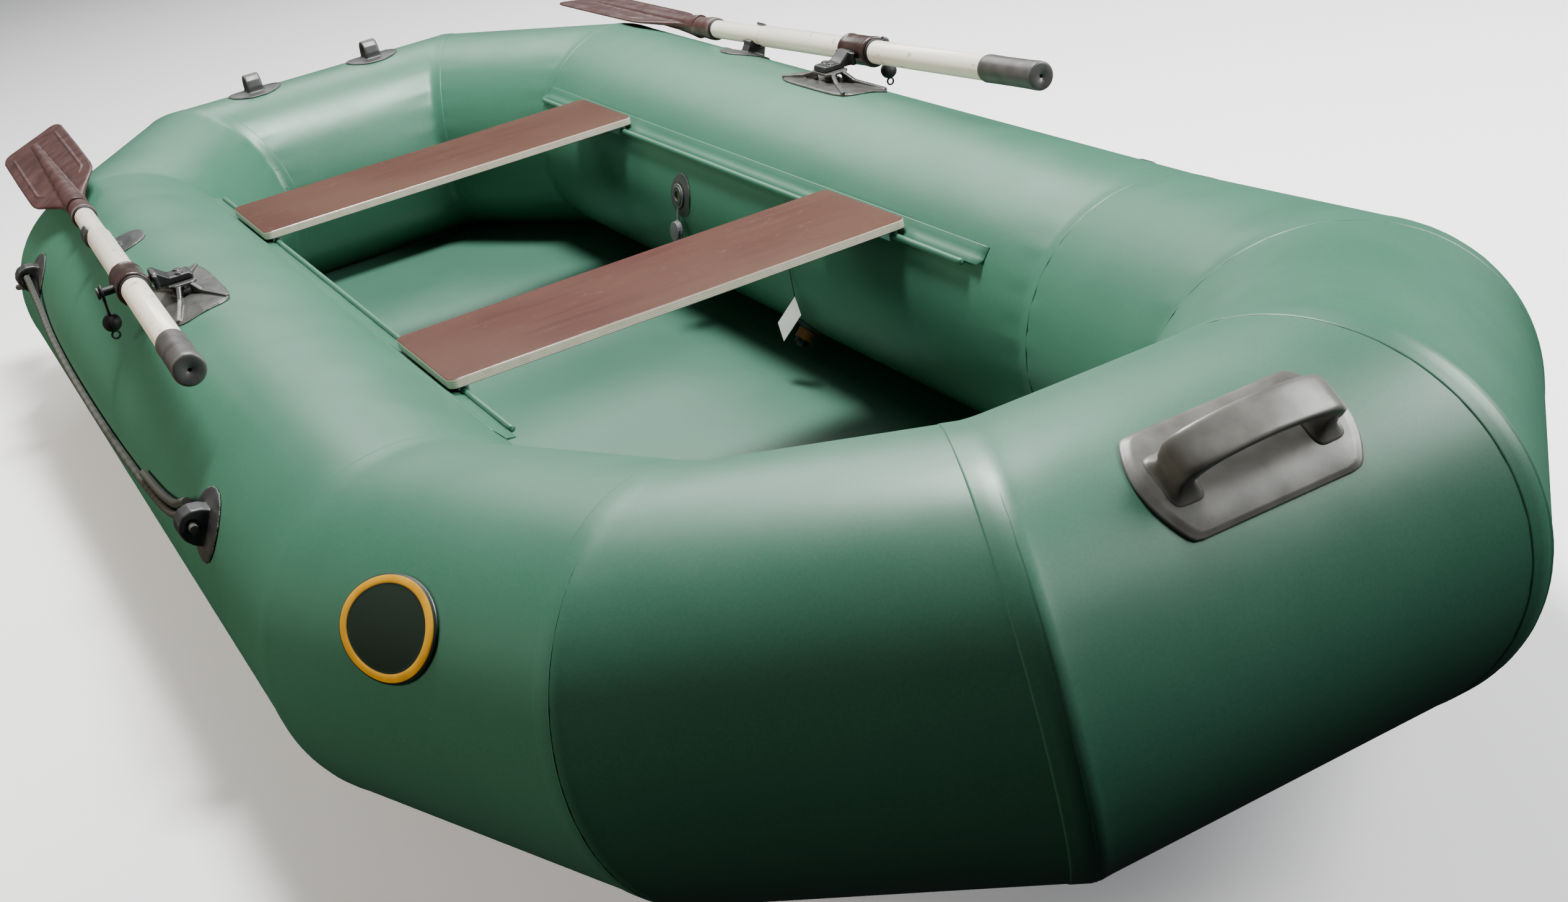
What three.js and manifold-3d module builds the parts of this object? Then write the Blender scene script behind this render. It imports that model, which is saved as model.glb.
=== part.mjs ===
// Inflatable rowing boat with two sliding thwarts and a pair of stowed oars.
// Millimetres. Bow toward -Y, port toward +X, up +Z, origin under the middle of the hull on the ground.
import * as THREE from 'three';
import { mergeVertices } from 'three/addons/utils/BufferGeometryUtils.js';
import Module from 'manifold-3d';

const wasm = await Module();
wasm.setup();

// Buoyancy tube
const TUBE_R = 180;
const FACETS = 48;
const SKIN = 1;
const GAP = 0.3;
const AXIS_Z = TUBE_R * Math.cos(Math.PI / FACETS);
const SIDE_X = 449;
const SIDE_FORE_Y = -651;
const SIDE_AFT_Y = 943;
const SHOULDER_X = 340;
const SHOULDER_Y = -1079;
const SHOULDER_RISE = 71;
const BOW_X = 145;
const BOW_Y = -1271;
const BOW_RISE = 100;
const STERN_X = 248;
const STERN_Y = 1271;
const PAD_GAP = 0.6;

// Floor
const FLOOR_T = 1.4;
const FLOOR_GAP = 0.9;
const FLOOR_EDGE = -116.25;
const FLOOR_HEM = [-108.75, -101.25];

// Thwart rails and thwarts
const BEAD_X = 287;
const BEAD_Z = 283.5;
const BEAD_R = 4;
const BEAD_Y = [-500, 866];
const STRIP_Y = [-524, 888];
const THWART_L = 608;
const THWART_W = 207;
const THWART_T = 12;
const THWART_Z = 291;
const THWART_FORE_Y = -247;
const THWART_AFT_Y = 610;
const CHANNEL_L = 190;

// Oars
const OAR_X = 545;
const OAR_Y = 149;
const OAR_Z = 387;
const OAR_REST = {
  port: { turn: 0, slope: -2.8, roll: 8, lift: 2 },
  starboard: { turn: 2.3, slope: -1.9, roll: 20, lift: 3.8 },
};
const GRIP_END = -470;
const GRIP_L = 125;
const UPPER_R = 17;
const UPPER_END = 322;
const LOWER_R = 15;
const LOWER_START = 262;
const NECK_START = 506;
const LOWER_END = 566;
const BLADE_ROOT = 721;
const BLADE_TIP = 1121;
const BLADE_W = 118;
const COLLAR_L = 78;
const COLLAR_R = 22.5;
const PIN_R = 5.5;
const BORE_R = 5.9;

// Rowlocks
const ROWLOCK_X = 486;
const ROWLOCK_BASE_Y = 138;
const ROWLOCK_L = 214;
const ROWLOCK_W = 84;
const BOSS_R = 13;
const BOSS_TOP = 362;
const PLATFORM_TOP = 375;
const PLATFORM_T = 4.5;
const HEAD_TOP = 384;
const CAP_X = 582;
const CAP_DROP = 41;

// Small fittings
const CLIP_Y = 505;
const ROPE_R = 5;
const EYELET_ELEV = 28;
const EYELET_FORE_Y = -405;
const EYELET_AFT_Y = 813;
const STERN_EYELET_X = 113;
const LUG_HOLE_R = 7;
const LUG_HOLE_N = 18;
const AIR_VALVE_Y = 294;
const AIR_VALVE_ELEV = 167;
const FLOOR_VALVE_Y = 22;
const FLOOR_VALVE_ELEV = 223;

const rad = THREE.MathUtils.degToRad;
const vec = (x, y, z) => new THREE.Vector3(x, y, z);

function material(color, roughness, metalness = 0) {
  return new THREE.MeshStandardMaterial({ color, roughness, metalness });
}

const pvc = () => material(0x5c8f78, 0.5);
const blackRubber = () => material(0x3b3c3d, 0.55);
const blackPlastic = () => material(0x2b2a2b, 0.4);
const ivory = () => material(0xe9e2d4, 0.3);

// ---- Solids ----

function volumeOf(positions, index) {
  let sum = 0;
  for (let i = 0; i < index.length; i += 3) {
    const [a, b, c] = [0, 1, 2].map((k) => positions[index[i + k]]);
    sum += a.dot(b.clone().cross(c)) / 6;
  }
  return sum;
}

function closedMesh(positions, index) {
  if (volumeOf(positions, index) < 0) {
    index.reverse();
  }
  const geometry = new THREE.BufferGeometry();
  geometry.setAttribute(
    'position',
    new THREE.Float32BufferAttribute(positions.flatMap((p) => [p.x, p.y, p.z]), 3),
  );
  geometry.setIndex(index);
  return geometry;
}

// A skin through a run of rings. The run closes on itself, or each end is capped.
function lofted(rings, cap) {
  const count = rings[0].length;
  const positions = rings.flat();
  const index = [];
  const runs = cap ? rings.length - 1 : rings.length;
  for (let i = 0; i < runs; i += 1) {
    const here = i * count;
    const next = ((i + 1) % rings.length) * count;
    for (let j = 0; j < count; j += 1) {
      const k = (j + 1) % count;
      index.push(here + j, here + k, next + k, here + j, next + k, next + j);
    }
  }
  if (cap) {
    cap(positions, index, 0, count, true);
    cap(positions, index, (rings.length - 1) * count, count, false);
  }
  return closedMesh(positions, index);
}

function fanCap(positions, index, start, count, first) {
  const middle = vec(0, 0, 0);
  for (let j = 0; j < count; j += 1) {
    middle.addScaledVector(positions[start + j], 1 / count);
  }
  positions.push(middle);
  const hub = positions.length - 1;
  for (let j = 0; j < count; j += 1) {
    const a = start + j;
    const b = start + ((j + 1) % count);
    index.push(...(first ? [hub, b, a] : [hub, a, b]));
  }
}

// Shares the vertices of a three.js shape, drops its collapsed triangles and turns it to face out.
function welded(geometry) {
  if (!geometry.getAttribute('normal')) {
    return geometry;
  }
  const bare = new THREE.BufferGeometry();
  bare.setAttribute('position', geometry.getAttribute('position').clone());
  if (geometry.index) {
    bare.setIndex(geometry.index.clone());
  }
  const shared = mergeVertices(bare, 1e-3);
  const at = shared.getAttribute('position');
  const positions = Array.from({ length: at.count }, (_, i) => vec(at.getX(i), at.getY(i), at.getZ(i)));
  const index = [];
  for (let i = 0; i < shared.index.count; i += 3) {
    const triangle = [0, 1, 2].map((k) => shared.index.getX(i + k));
    if (new Set(triangle).size === 3) {
      index.push(...triangle);
    }
  }
  return closedMesh(positions, index);
}

function toManifold(geometry) {
  const shape = welded(geometry);
  return new wasm.Manifold(
    new wasm.Mesh({
      numProp: 3,
      vertProperties: new Float32Array(shape.getAttribute('position').array),
      triVerts: new Uint32Array(shape.index.array),
    }),
  );
}

function fromManifold(solid) {
  const mesh = solid.getMesh();
  const geometry = new THREE.BufferGeometry();
  geometry.setAttribute('position', new THREE.BufferAttribute(mesh.vertProperties, 3));
  geometry.setIndex(new THREE.BufferAttribute(mesh.triVerts, 1));
  return geometry;
}

function join(first, ...others) {
  return fromManifold(others.reduce((sum, g) => sum.add(toManifold(g)), toManifold(first)));
}

function cut(first, ...others) {
  return fromManifold(others.reduce((sum, g) => sum.subtract(toManifold(g)), toManifold(first)));
}

function polygon(points) {
  const outline = points.map(([x, y]) => new THREE.Vector2(x, y));
  return new THREE.Shape(THREE.ShapeUtils.isClockWise(outline) ? outline.reverse() : outline);
}

function plate(shape, depth, bevel = 0) {
  return new THREE.ExtrudeGeometry(shape, {
    depth: depth - 2 * bevel,
    bevelEnabled: bevel > 0,
    bevelThickness: bevel,
    bevelSize: bevel,
    bevelOffset: -bevel,
    bevelSegments: 1,
    curveSegments: 7,
  }).translate(0, 0, bevel);
}

// An outline drawn in X and Z, run along Y.
function alongY(shape, from, to, bevel = 0) {
  return plate(shape, to - from, bevel)
    .rotateX(Math.PI / 2)
    .translate(0, to, 0);
}

function rod(radius, from, to, sides = 20) {
  return new THREE.CylinderGeometry(radius, radius, to - from, sides).translate(0, (from + to) / 2, 0);
}

function rodX(radius, from, to, sides = 20) {
  return rod(radius, from, to, sides).rotateZ(-Math.PI / 2);
}

function rodZ(radius, from, to, sides = 20) {
  return rod(radius, from, to, sides).rotateX(Math.PI / 2);
}

function turned(profile, sides = 20) {
  const points = profile.map(([r, y]) => new THREE.Vector2(r, y));
  return welded(new THREE.LatheGeometry(points, sides));
}

function pipe(inner, outer, from, to, sides = 20) {
  return turned([[outer, from], [outer, to], [inner, to], [inner, from], [outer, from]], sides);
}

function circleShape(radius, sides) {
  const points = [];
  for (let i = 0; i < sides; i += 1) {
    const a = (2 * Math.PI * i) / sides;
    points.push([radius * Math.cos(a), radius * Math.sin(a)]);
  }
  return polygon(points);
}

function cordAlong(points, radius, steps, sides) {
  const path = new THREE.CatmullRomCurve3(points, false, 'centripetal');
  return new THREE.ExtrudeGeometry(circleShape(radius, sides), {
    steps,
    bevelEnabled: false,
    extrudePath: path,
  });
}

// ---- The ring of tube panels ----

const corners = [
  vec(-BOW_X, BOW_Y, AXIS_Z + BOW_RISE),
  vec(BOW_X, BOW_Y, AXIS_Z + BOW_RISE),
  vec(SHOULDER_X, SHOULDER_Y, AXIS_Z + SHOULDER_RISE),
  vec(SIDE_X, SIDE_FORE_Y, AXIS_Z),
  vec(SIDE_X, SIDE_AFT_Y, AXIS_Z),
  vec(STERN_X, STERN_Y, AXIS_Z),
  vec(-STERN_X, STERN_Y, AXIS_Z),
  vec(-SIDE_X, SIDE_AFT_Y, AXIS_Z),
  vec(-SIDE_X, SIDE_FORE_Y, AXIS_Z),
  vec(-SHOULDER_X, SHOULDER_Y, AXIS_Z + SHOULDER_RISE),
];

const panelNames = [
  'tube_bow_centre',
  'tube_bow_shoulder_port',
  'tube_bow_cheek_port',
  'tube_side_port',
  'tube_quarter_port',
  'tube_stern_centre',
  'tube_quarter_starboard',
  'tube_side_starboard',
  'tube_bow_cheek_starboard',
  'tube_bow_shoulder_starboard',
];

const wrap = (k) => (k + corners.length) % corners.length;

// The frame of a panel: along its axis, outboard, and up.
function panelFrame(k) {
  const from = corners[wrap(k)];
  const along = corners[wrap(k + 1)].clone().sub(from).normalize();
  const out = along.clone().cross(vec(0, 0, 1)).normalize();
  const up = out.clone().cross(along);
  return { from, along, out, up };
}

function mitreNormal(k) {
  return panelFrame(k - 1).along.clone().add(panelFrame(k).along).normalize();
}

// Where a line drawn along a panel's surface meets the mitre at corner k.
function onMitre(panel, k, elevation, radius, setBack = 0) {
  const { from, along, out, up } = panelFrame(panel);
  const a = rad(elevation);
  const start = from
    .clone()
    .addScaledVector(out, radius * Math.cos(a))
    .addScaledVector(up, radius * Math.sin(a));
  const normal = mitreNormal(k);
  const reach = corners[wrap(k)].clone().sub(start).dot(normal) / along.dot(normal);
  return start.addScaledVector(along, reach + setBack);
}

function seamPoint(k, elevation, radius) {
  return onMitre(k - 1, k, elevation, radius).lerp(onMitre(k, k, elevation, radius), 0.5);
}

function facetAngles() {
  return Array.from({ length: FACETS }, (_, j) => -90 + (360 / FACETS) * (j + 0.5));
}

function tubePanel(k) {
  const ring = (corner, radius, setBack) =>
    facetAngles().map((a) => onMitre(k, corner, a, radius, setBack));
  return lofted([
    ring(k, TUBE_R, GAP / 2),
    ring(k + 1, TUBE_R, -GAP / 2),
    ring(k + 1, TUBE_R - SKIN, -GAP / 2),
    ring(k, TUBE_R - SKIN, GAP / 2),
  ]);
}

// Places a shape on a panel: local X along the tube, Z straight out of it.
function onPanel(k, distance, elevation) {
  const { from, along, out, up } = panelFrame(k);
  const a = rad(elevation);
  const normal = out.clone().multiplyScalar(Math.cos(a)).addScaledVector(up, Math.sin(a));
  const across = normal.clone().cross(along);
  const origin = from.clone().addScaledVector(along, distance).addScaledVector(normal, TUBE_R);
  return new THREE.Matrix4().makeBasis(along, across, normal).setPosition(origin);
}

const PORT_SIDE = 3;
const onPortSide = (y, elevation) => onPanel(PORT_SIDE, y - SIDE_FORE_Y, elevation);

function tubeTop(x, lift) {
  return AXIS_Z + Math.sqrt((TUBE_R + lift) ** 2 - (x - SIDE_X) ** 2);
}

// A moulded patch bent to the tube. Each step is a share of its size and the height there.
function patch(length, width, squareness, steps, sides = 24) {
  const power = (value) => Math.sign(value) * Math.abs(value) ** squareness;
  const ring = ([scale, height]) =>
    Array.from({ length: sides }, (_, j) => {
      const a = (2 * Math.PI * j) / sides;
      const u = (scale * length * power(Math.cos(a))) / 2;
      const v = (scale * width * power(Math.sin(a))) / 2;
      const r = TUBE_R + height;
      return vec(u, r * Math.sin(v / TUBE_R), r * Math.cos(v / TUBE_R) - TUBE_R);
    });
  const under = [1, 0.55, 0.15].map((scale) => [scale, PAD_GAP]);
  return lofted([...steps, ...under].map(ring), fanCap);
}

// ---- Hull ----

function sidePanelPort() {
  const drill = (y, elevation) =>
    rodZ(17.5, -30, 20).applyMatrix4(onPortSide(y, elevation));
  return cut(
    tubePanel(PORT_SIDE),
    drill(AIR_VALVE_Y, AIR_VALVE_ELEV),
    drill(FLOOR_VALVE_Y, FLOOR_VALVE_ELEV),
  );
}

// The floor spans from side to side in strips between matching corners.
function floorCap(positions, index, start, count, first) {
  const strips = [[0, 1, 2, 9], [9, 2, 3, 8], [8, 3, 4, 7], [7, 4, 5, 6]];
  for (const [a, b, c, d] of strips) {
    const quad = [a, c, b, a, d, c].map((n) => start + n);
    index.push(...(first ? quad : quad.reverse()));
  }
}

function floorSheet() {
  const loop = (elevation, lift) =>
    corners.map((_, k) => seamPoint(k, elevation, TUBE_R + lift));
  const angles = [FLOOR_EDGE, ...FLOOR_HEM];
  const top = angles.map((a) => loop(a, FLOOR_GAP));
  const under = angles.map((a) => loop(a, FLOOR_GAP + FLOOR_T));
  under[0] = top[0].map((p) => p.clone().add(vec(0, 0, -FLOOR_T)));
  return lofted([...top, ...under.reverse()], floorCap);
}

function bulkhead() {
  const rim = 178.2;
  const wall = [[0, 0], [90, 3], [rim - 1, 14], [rim - 1, 40], [rim, 40]];
  const back = [[rim, 13], [90, 2], [0, -1]];
  return turned([...wall, ...back], 24).translate(SIDE_X, OAR_Y, AXIS_Z);
}

function railStrip() {
  const surface = (inner, r) => [SIDE_X - r * Math.cos(rad(inner)), AXIS_Z + r * Math.sin(rad(inner))];
  const low = TUBE_R + 0.5;
  const high = low + SKIN;
  const start = BEAD_X + BEAD_R + 0.5;
  const outline = [
    [start, BEAD_Z - 0.5],
    surface(34.9, low),
    surface(41.25, low),
    surface(48.75, low),
    surface(48.75, high),
    surface(41.25, high),
    surface(35.6, high + 0.1),
    [start, BEAD_Z + 0.5],
  ];
  return alongY(polygon(outline), ...STRIP_Y);
}

function railBead() {
  return rod(BEAD_R, ...BEAD_Y, 12).translate(BEAD_X, 0, BEAD_Z);
}

function badge() {
  const steps = [[0.3, 3], [0.8, 3], [0.83, 3.9], [0.95, 3.9], [1, 2.4]];
  return patch(175, 95, 1, steps, 32).applyMatrix4(onPanel(8, 231, 33));
}

function carryHandle() {
  const base = patch(190, 98, 0.5, [[0.3, 4.4], [0.94, 3.8], [1, 1.8]], 28);
  const outer = [[-82, 2], [-80, 14], [-66, 34], [-42, 42], [0, 45], [42, 42], [66, 34], [80, 14], [82, 2]];
  const inner = [[69, 2], [68, 12], [57, 26], [36, 32], [0, 34.5], [-36, 32], [-57, 26], [-68, 12], [-69, 2]];
  const arch = plate(polygon([...outer, ...inner]), 34, 1.5).rotateX(Math.PI / 2).translate(0, 17, 0);
  return join(base, arch).applyMatrix4(onPanel(0, BOW_X, 56));
}

// ---- Rope and eyelets ----

function eyelet() {
  const base = patch(100, 82, 1, [[0.4, 3.8], [0.93, 3], [1, 1.6]], 20);
  const d = [[-21, 1], [-21, 12], [-17, 23], [-9, 31], [0, 33], [9, 31], [17, 23], [21, 12], [21, 1]];
  const hole = new THREE.Path().absarc(0, LUG_HOLE_N, LUG_HOLE_R, 0, 2 * Math.PI, true);
  const shape = polygon(d);
  shape.holes.push(hole);
  const toLocal = new THREE.Matrix4().makeBasis(vec(0, 1, 0), vec(0, 0, 1), vec(1, 0, 0));
  const lug = plate(shape, 28, 1.5).translate(0, 0, -14).applyMatrix4(toLocal);
  return join(base, lug);
}

const aroundSide = (y, elevation, radius) =>
  vec(SIDE_X + radius * Math.cos(rad(elevation)), y, AXIS_Z + radius * Math.sin(rad(elevation)));

// The lifeline leaves one eyelet, sags along the tube and runs on through the other.
function lifeline() {
  const lay = TUBE_R + ROPE_R + 0.7;
  const lug = TUBE_R + LUG_HOLE_N;
  const route = [
    [-430, EYELET_ELEV, lug],
    [-405, EYELET_ELEV, lug],
    [-378, EYELET_ELEV, lug],
    [-335, 24, 191],
    [-285, 19, lay + 0.6],
    [-220, 15.5, lay],
    [-100, 12.5, lay],
    [100, 9.5, lay],
    [300, 8.5, lay],
    [500, 10, lay],
    [640, 14, lay],
    [715, 19, lay + 1],
    [765, 24, 192],
    [795, EYELET_ELEV, lug],
    [813, EYELET_ELEV, lug],
    [832, EYELET_ELEV, lug],
    [862, 24, 192],
    [905, 18, lay + 1],
    [978, 12, lay],
  ];
  return cordAlong(route.map((p) => aroundSide(...p)), ROPE_R, 48, 8);
}

// The rope's tail, tied back along the lifeline behind the forward eyelet.
function lifelineTail() {
  const lay = TUBE_R + ROPE_R + 0.7;
  const route = [
    [-378, 32.2, 199],
    [-335, 28.2, 192],
    [-285, 23, lay + 0.6],
    [-220, 19.4, lay],
    [-100, 16.2, lay],
  ];
  return cordAlong(route.map((p) => aroundSide(...p)), ROPE_R, 12, 8);
}

// ---- Thwarts ----

function thwart(y) {
  const [l, w, r] = [THWART_L / 2, THWART_W / 2, 14];
  const shape = new THREE.Shape();
  shape.absarc(l - r, w - r, r, 0, Math.PI / 2);
  shape.absarc(r - l, w - r, r, Math.PI / 2, Math.PI);
  shape.absarc(r - l, r - w, r, Math.PI, 1.5 * Math.PI);
  shape.absarc(l - r, r - w, r, 1.5 * Math.PI, 2 * Math.PI);
  return plate(shape, THWART_T).translate(0, y, THWART_Z);
}

// The channel under a thwart's end, sliding on the rail bead.
function channel(y) {
  const inner = BEAD_R + 0.7;
  const lip = 1.3;
  const opening = Math.asin(lip / inner);
  const bore = Array.from({ length: 15 }, (_, i) => {
    const a = -opening - (i * (2 * Math.PI - 2 * opening)) / 14;
    return [BEAD_X + inner * Math.cos(a), BEAD_Z + inner * Math.sin(a)];
  });
  const top = THWART_Z - GAP;
  const outline = [
    [BEAD_X + 6.2, top],
    [BEAD_X - 6.6, top],
    [BEAD_X - 6.6, BEAD_Z - 5],
    [BEAD_X - 4.6, BEAD_Z - 7],
    [BEAD_X + 4.6, BEAD_Z - 7],
    [BEAD_X + 6.2, BEAD_Z - 5],
    [BEAD_X + 6.2, BEAD_Z - lip],
    ...bore,
    [BEAD_X + 6.2, BEAD_Z + lip],
  ];
  return alongY(polygon(outline), y - CHANNEL_L / 2, y + CHANNEL_L / 2);
}

// ---- Oars, drawn along Y with the pin's bore at the origin ----

const crossBore = () => rodX(BORE_R, -40, 40, 14);

function oarGrip() {
  const [start, end] = [GRIP_END, GRIP_END + GRIP_L];
  const r = UPPER_R + 1.8;
  const bore = UPPER_R + GAP;
  return turned([
    [0, start],
    [r - 3, start],
    [r, start + 3],
    [r, end - 1.5],
    [r - 0.8, end],
    [bore, end],
    [bore, start + 10],
    [0, start + 10],
  ]);
}

function upperShaft() {
  return cut(pipe(LOWER_R + 0.4, UPPER_R, GRIP_END + 10.3, UPPER_END), crossBore());
}

function lowerShaft() {
  return pipe(LOWER_R - 2, LOWER_R, LOWER_START, LOWER_END);
}

function oarCollar() {
  const half = COLLAR_L / 2;
  const bore = UPPER_R + GAP;
  const ring = turned([
    [bore, -half],
    [COLLAR_R - 2, -half],
    [COLLAR_R, 2 - half],
    [COLLAR_R, half - 2],
    [COLLAR_R - 2, half],
    [bore, half],
    [bore, -half],
  ]);
  return cut(ring, crossBore());
}

function bladeSection(y, width, edge, spine) {
  return Array.from({ length: 20 }, (_, j) => {
    const a = (2 * Math.PI * j) / 20;
    const x = (width / 2) * Math.cos(a);
    const spread = 15 - (9 * (y - LOWER_END)) / (BLADE_TIP - LOWER_END);
    const bulge = spine * Math.exp(-((x / spread) ** 2)) * Math.abs(Math.sin(a));
    const thick = edge * Math.sqrt(Math.abs(Math.sin(a))) + bulge;
    return vec(x, y, Math.sign(Math.sin(a)) * thick);
  });
}

// A sleeve that takes the lower shaft, a tapering neck, and the ribbed blade.
function oarBlade({ lift, roll }) {
  const sleeve = turned([
    [0, LOWER_END + 1],
    [LOWER_R + GAP, LOWER_END + 1],
    [LOWER_R + GAP, NECK_START],
    [19, NECK_START],
    [19, NECK_START + 20],
    [17.5, NECK_START + 26],
    [17, LOWER_END + 24],
    [0, LOWER_END + 24],
  ]);
  const sections = [
    [LOWER_END + 6, 33, 13, 3],
    [LOWER_END + 60, 38, 8, 7.5],
    [BLADE_ROOT - 70, 50, 4.5, 10.5],
    [BLADE_ROOT - 35, 78, 3.2, 11],
    [BLADE_ROOT, 106, 2.6, 10.5],
    [BLADE_ROOT + 45, 115, 2.6, 9.6],
    [BLADE_ROOT + 180, BLADE_W, 2.6, 7.6],
    [BLADE_ROOT + 300, BLADE_W, 2.6, 5.4],
    [BLADE_TIP - 34, BLADE_W, 2.6, 3],
    [BLADE_TIP - 12, 108, 2.6, 1],
    [BLADE_TIP - 2, 88, 2.6, 0],
    [BLADE_TIP, 78, 1.8, 0],
  ];
  const palm = lofted(sections.map((s) => bladeSection(...s)), fanCap)
    .translate(0, -LOWER_END, 0)
    .rotateX(rad(lift))
    .translate(0, LOWER_END, 0)
    .rotateY(rad(roll));
  const mouth = rod(LOWER_R + GAP, NECK_START - 5, LOWER_END + 1);
  return cut(join(sleeve, palm), mouth);
}

// ---- Rowlock ----

// A thin web from the platform down to one corner of the foot, with a stout bar along its top.
function rib(cornerX, cornerY, kink) {
  const reach = Math.hypot(cornerX - ROWLOCK_X, cornerY - OAR_Y);
  const direction = Math.atan2(cornerY - OAR_Y, cornerX - ROWLOCK_X);
  const bed = (s) => tubeTop(ROWLOCK_X + s * Math.cos(direction), 2.4);
  const line = [[24, PLATFORM_TOP - 2], [32, PLATFORM_TOP - 3], [50, kink], [reach, bed(reach) + 4]];
  const topAt = (s) => {
    const i = line.findIndex(([at]) => at >= s);
    const [[s0, z0], [s1, z1]] = [line[Math.max(i - 1, 0)], line[Math.max(i, 1)]];
    return z0 + ((z1 - z0) * (s - s0)) / (s1 - s0);
  };
  const stations = [24, 32, 50, 0.7 * reach, reach];
  const over = stations.map((s) => [s, topAt(s)]).reverse();
  const web = alongY(polygon([...stations.map((s) => [s, bed(s)]), ...over]), -1.3, 1.3);
  const bar = alongY(polygon([...stations.map((s) => [s, topAt(s) - 4.4]), ...over]), -3, 3);
  return join(web, bar)
    .rotateZ(direction)
    .translate(ROWLOCK_X, OAR_Y, 0);
}

// A four-cornered foot whose ribs climb to a platform. The swivel's pin turns in the platform
// and in the boss below it. The outboard ribs are lower, because the collar sweeps over them.
function rowlockBase() {
  const foot = patch(ROWLOCK_L, ROWLOCK_W, 0.42, [[0.5, 3.6], [0.95, 3.4], [1, 2]], 32)
    .applyMatrix4(onPortSide(ROWLOCK_BASE_Y, 79));
  const foreY = ROWLOCK_BASE_Y - ROWLOCK_L / 2 + 13;
  const aftY = ROWLOCK_BASE_Y + ROWLOCK_L / 2 - 13;
  const hull = rod(TUBE_R + 1.5, -60, 60, 96).translate(SIDE_X - ROWLOCK_X, 0, AXIS_Z);
  const boss = cut(rodZ(BOSS_R, tubeTop(ROWLOCK_X + BOSS_R, 1), BOSS_TOP), hull, rodZ(8.4, 358, BOSS_TOP + 5));
  const outline = polygon([[-12, -29], [12, -29], [18, -22], [18, 22], [12, 29], [-12, 29], [-18, 22], [-18, -22]]);
  const platform = cut(
    plate(outline, PLATFORM_T, 1).translate(0, 0, PLATFORM_TOP - PLATFORM_T),
    rodZ(8.4, PLATFORM_TOP - 10, PLATFORM_TOP + 5),
  );
  return join(
    foot,
    boss.translate(ROWLOCK_X, OAR_Y, 0),
    platform.translate(ROWLOCK_X, OAR_Y, 0),
    rib(449, aftY, 368),
    rib(516, aftY, 363),
    rib(449, foreY, 366.5),
    rib(516, foreY, 362.5),
  );
}

// The head turns on its spigot. Its arm carries a cheek and the pin that the oar hangs on.
function rowlockSwivel() {
  const spigot = rodZ(8, 360.2, PLATFORM_TOP + 2, 20).translate(ROWLOCK_X, OAR_Y, 0);
  const low = PLATFORM_TOP + 0.4;
  const armShape = polygon([
    [469, low], [512, low], [519, 379], [519, 396], [513, 396], [503, 388], [497, HEAD_TOP], [472, HEAD_TOP], [469, 381],
  ]);
  const arm = alongY(armShape, OAR_Y - 17, OAR_Y + 17, 1.5);
  const cheek = alongY(polygon([[513, low], [519, low], [519, 394], [513, 394]]), OAR_Y - 25, OAR_Y + 25, 1.5);
  const pin = rodX(PIN_R, 512, CAP_X + 4, 20).translate(0, OAR_Y, OAR_Z);
  const stop = rodX(8, CAP_X + 3.4, CAP_X + 6.4, 20).translate(0, OAR_Y, OAR_Z);
  const screw = (y) => rodZ(4.8, HEAD_TOP - 1, HEAD_TOP + 2.2, 14).translate(ROWLOCK_X - 1, y, 0);
  return join(arm, cheek, spigot, pin, stop, screw(OAR_Y - 10), screw(OAR_Y + 10));
}

// The retaining ball hangs from the pin's end by its loop.
function rowlockCap() {
  const loop = new THREE.TorusGeometry(8.6, 2, 6, 14).rotateY(Math.PI / 2);
  const strap = new THREE.BoxGeometry(3, 9, 22).translate(0, 0, -20);
  const ball = new THREE.SphereGeometry(12, 14, 10).translate(0, 0, -CAP_DROP);
  const ring = new THREE.TorusGeometry(5, 1.5, 6, 12).rotateY(Math.PI / 2).translate(0, 0, -CAP_DROP - 16.5);
  return join(loop, strap, ball, ring).translate(CAP_X, OAR_Y, OAR_Z);
}

// A hook glued to the tube that holds the oar's shaft when it is stowed.
function oarClip({ turn, slope }) {
  const shaftX = OAR_X - (CLIP_Y - OAR_Y) * Math.sin(rad(turn));
  const shaftZ = OAR_Z + (CLIP_Y - OAR_Y) * Math.tan(rad(slope));
  const footElev = THREE.MathUtils.radToDeg(Math.acos((shaftX - 26 - SIDE_X) / TUBE_R));
  const arc = (r, from, to, n) =>
    Array.from({ length: n + 1 }, (_, i) => {
      const a = rad(from + ((to - from) * i) / n);
      return [shaftX + r * Math.cos(a), shaftZ + r * Math.sin(a)];
    });
  const hook = alongY(
    polygon([...arc(LOWER_R + 6, -170, 55, 14), ...arc(LOWER_R + 1.3, 55, -170, 14)]),
    CLIP_Y - 13,
    CLIP_Y + 13,
  );
  const legs = [
    [shaftX - 28, tubeTop(shaftX - 28, 2)],
    [shaftX + 2, tubeTop(shaftX + 2, 2)],
    [shaftX + 8, shaftZ - 18],
    [shaftX - 10, shaftZ - 16],
    [shaftX - 18, shaftZ - 7],
  ];
  const leg = alongY(polygon(legs), CLIP_Y - 11, CLIP_Y + 11);
  const foot = patch(84, 78, 0.8, [[0.5, 3.4], [0.93, 2.8], [1, 1.6]], 20)
    .applyMatrix4(onPortSide(CLIP_Y, footElev));
  return join(foot, leg, hook);
}

// ---- Valves ----

function valveBody(flange, neck, rim, height) {
  const base = patch(flange, flange, 1, [[0.6, 3.2], [0.93, 2.6], [1, 1.4]], 24);
  const barrel = rodZ(neck, -20, 2);
  const collar = rodZ(rim, 1, height);
  const bore = rodZ(7, -21, height + 1);
  return cut(join(base, barrel, collar), bore);
}

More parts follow.
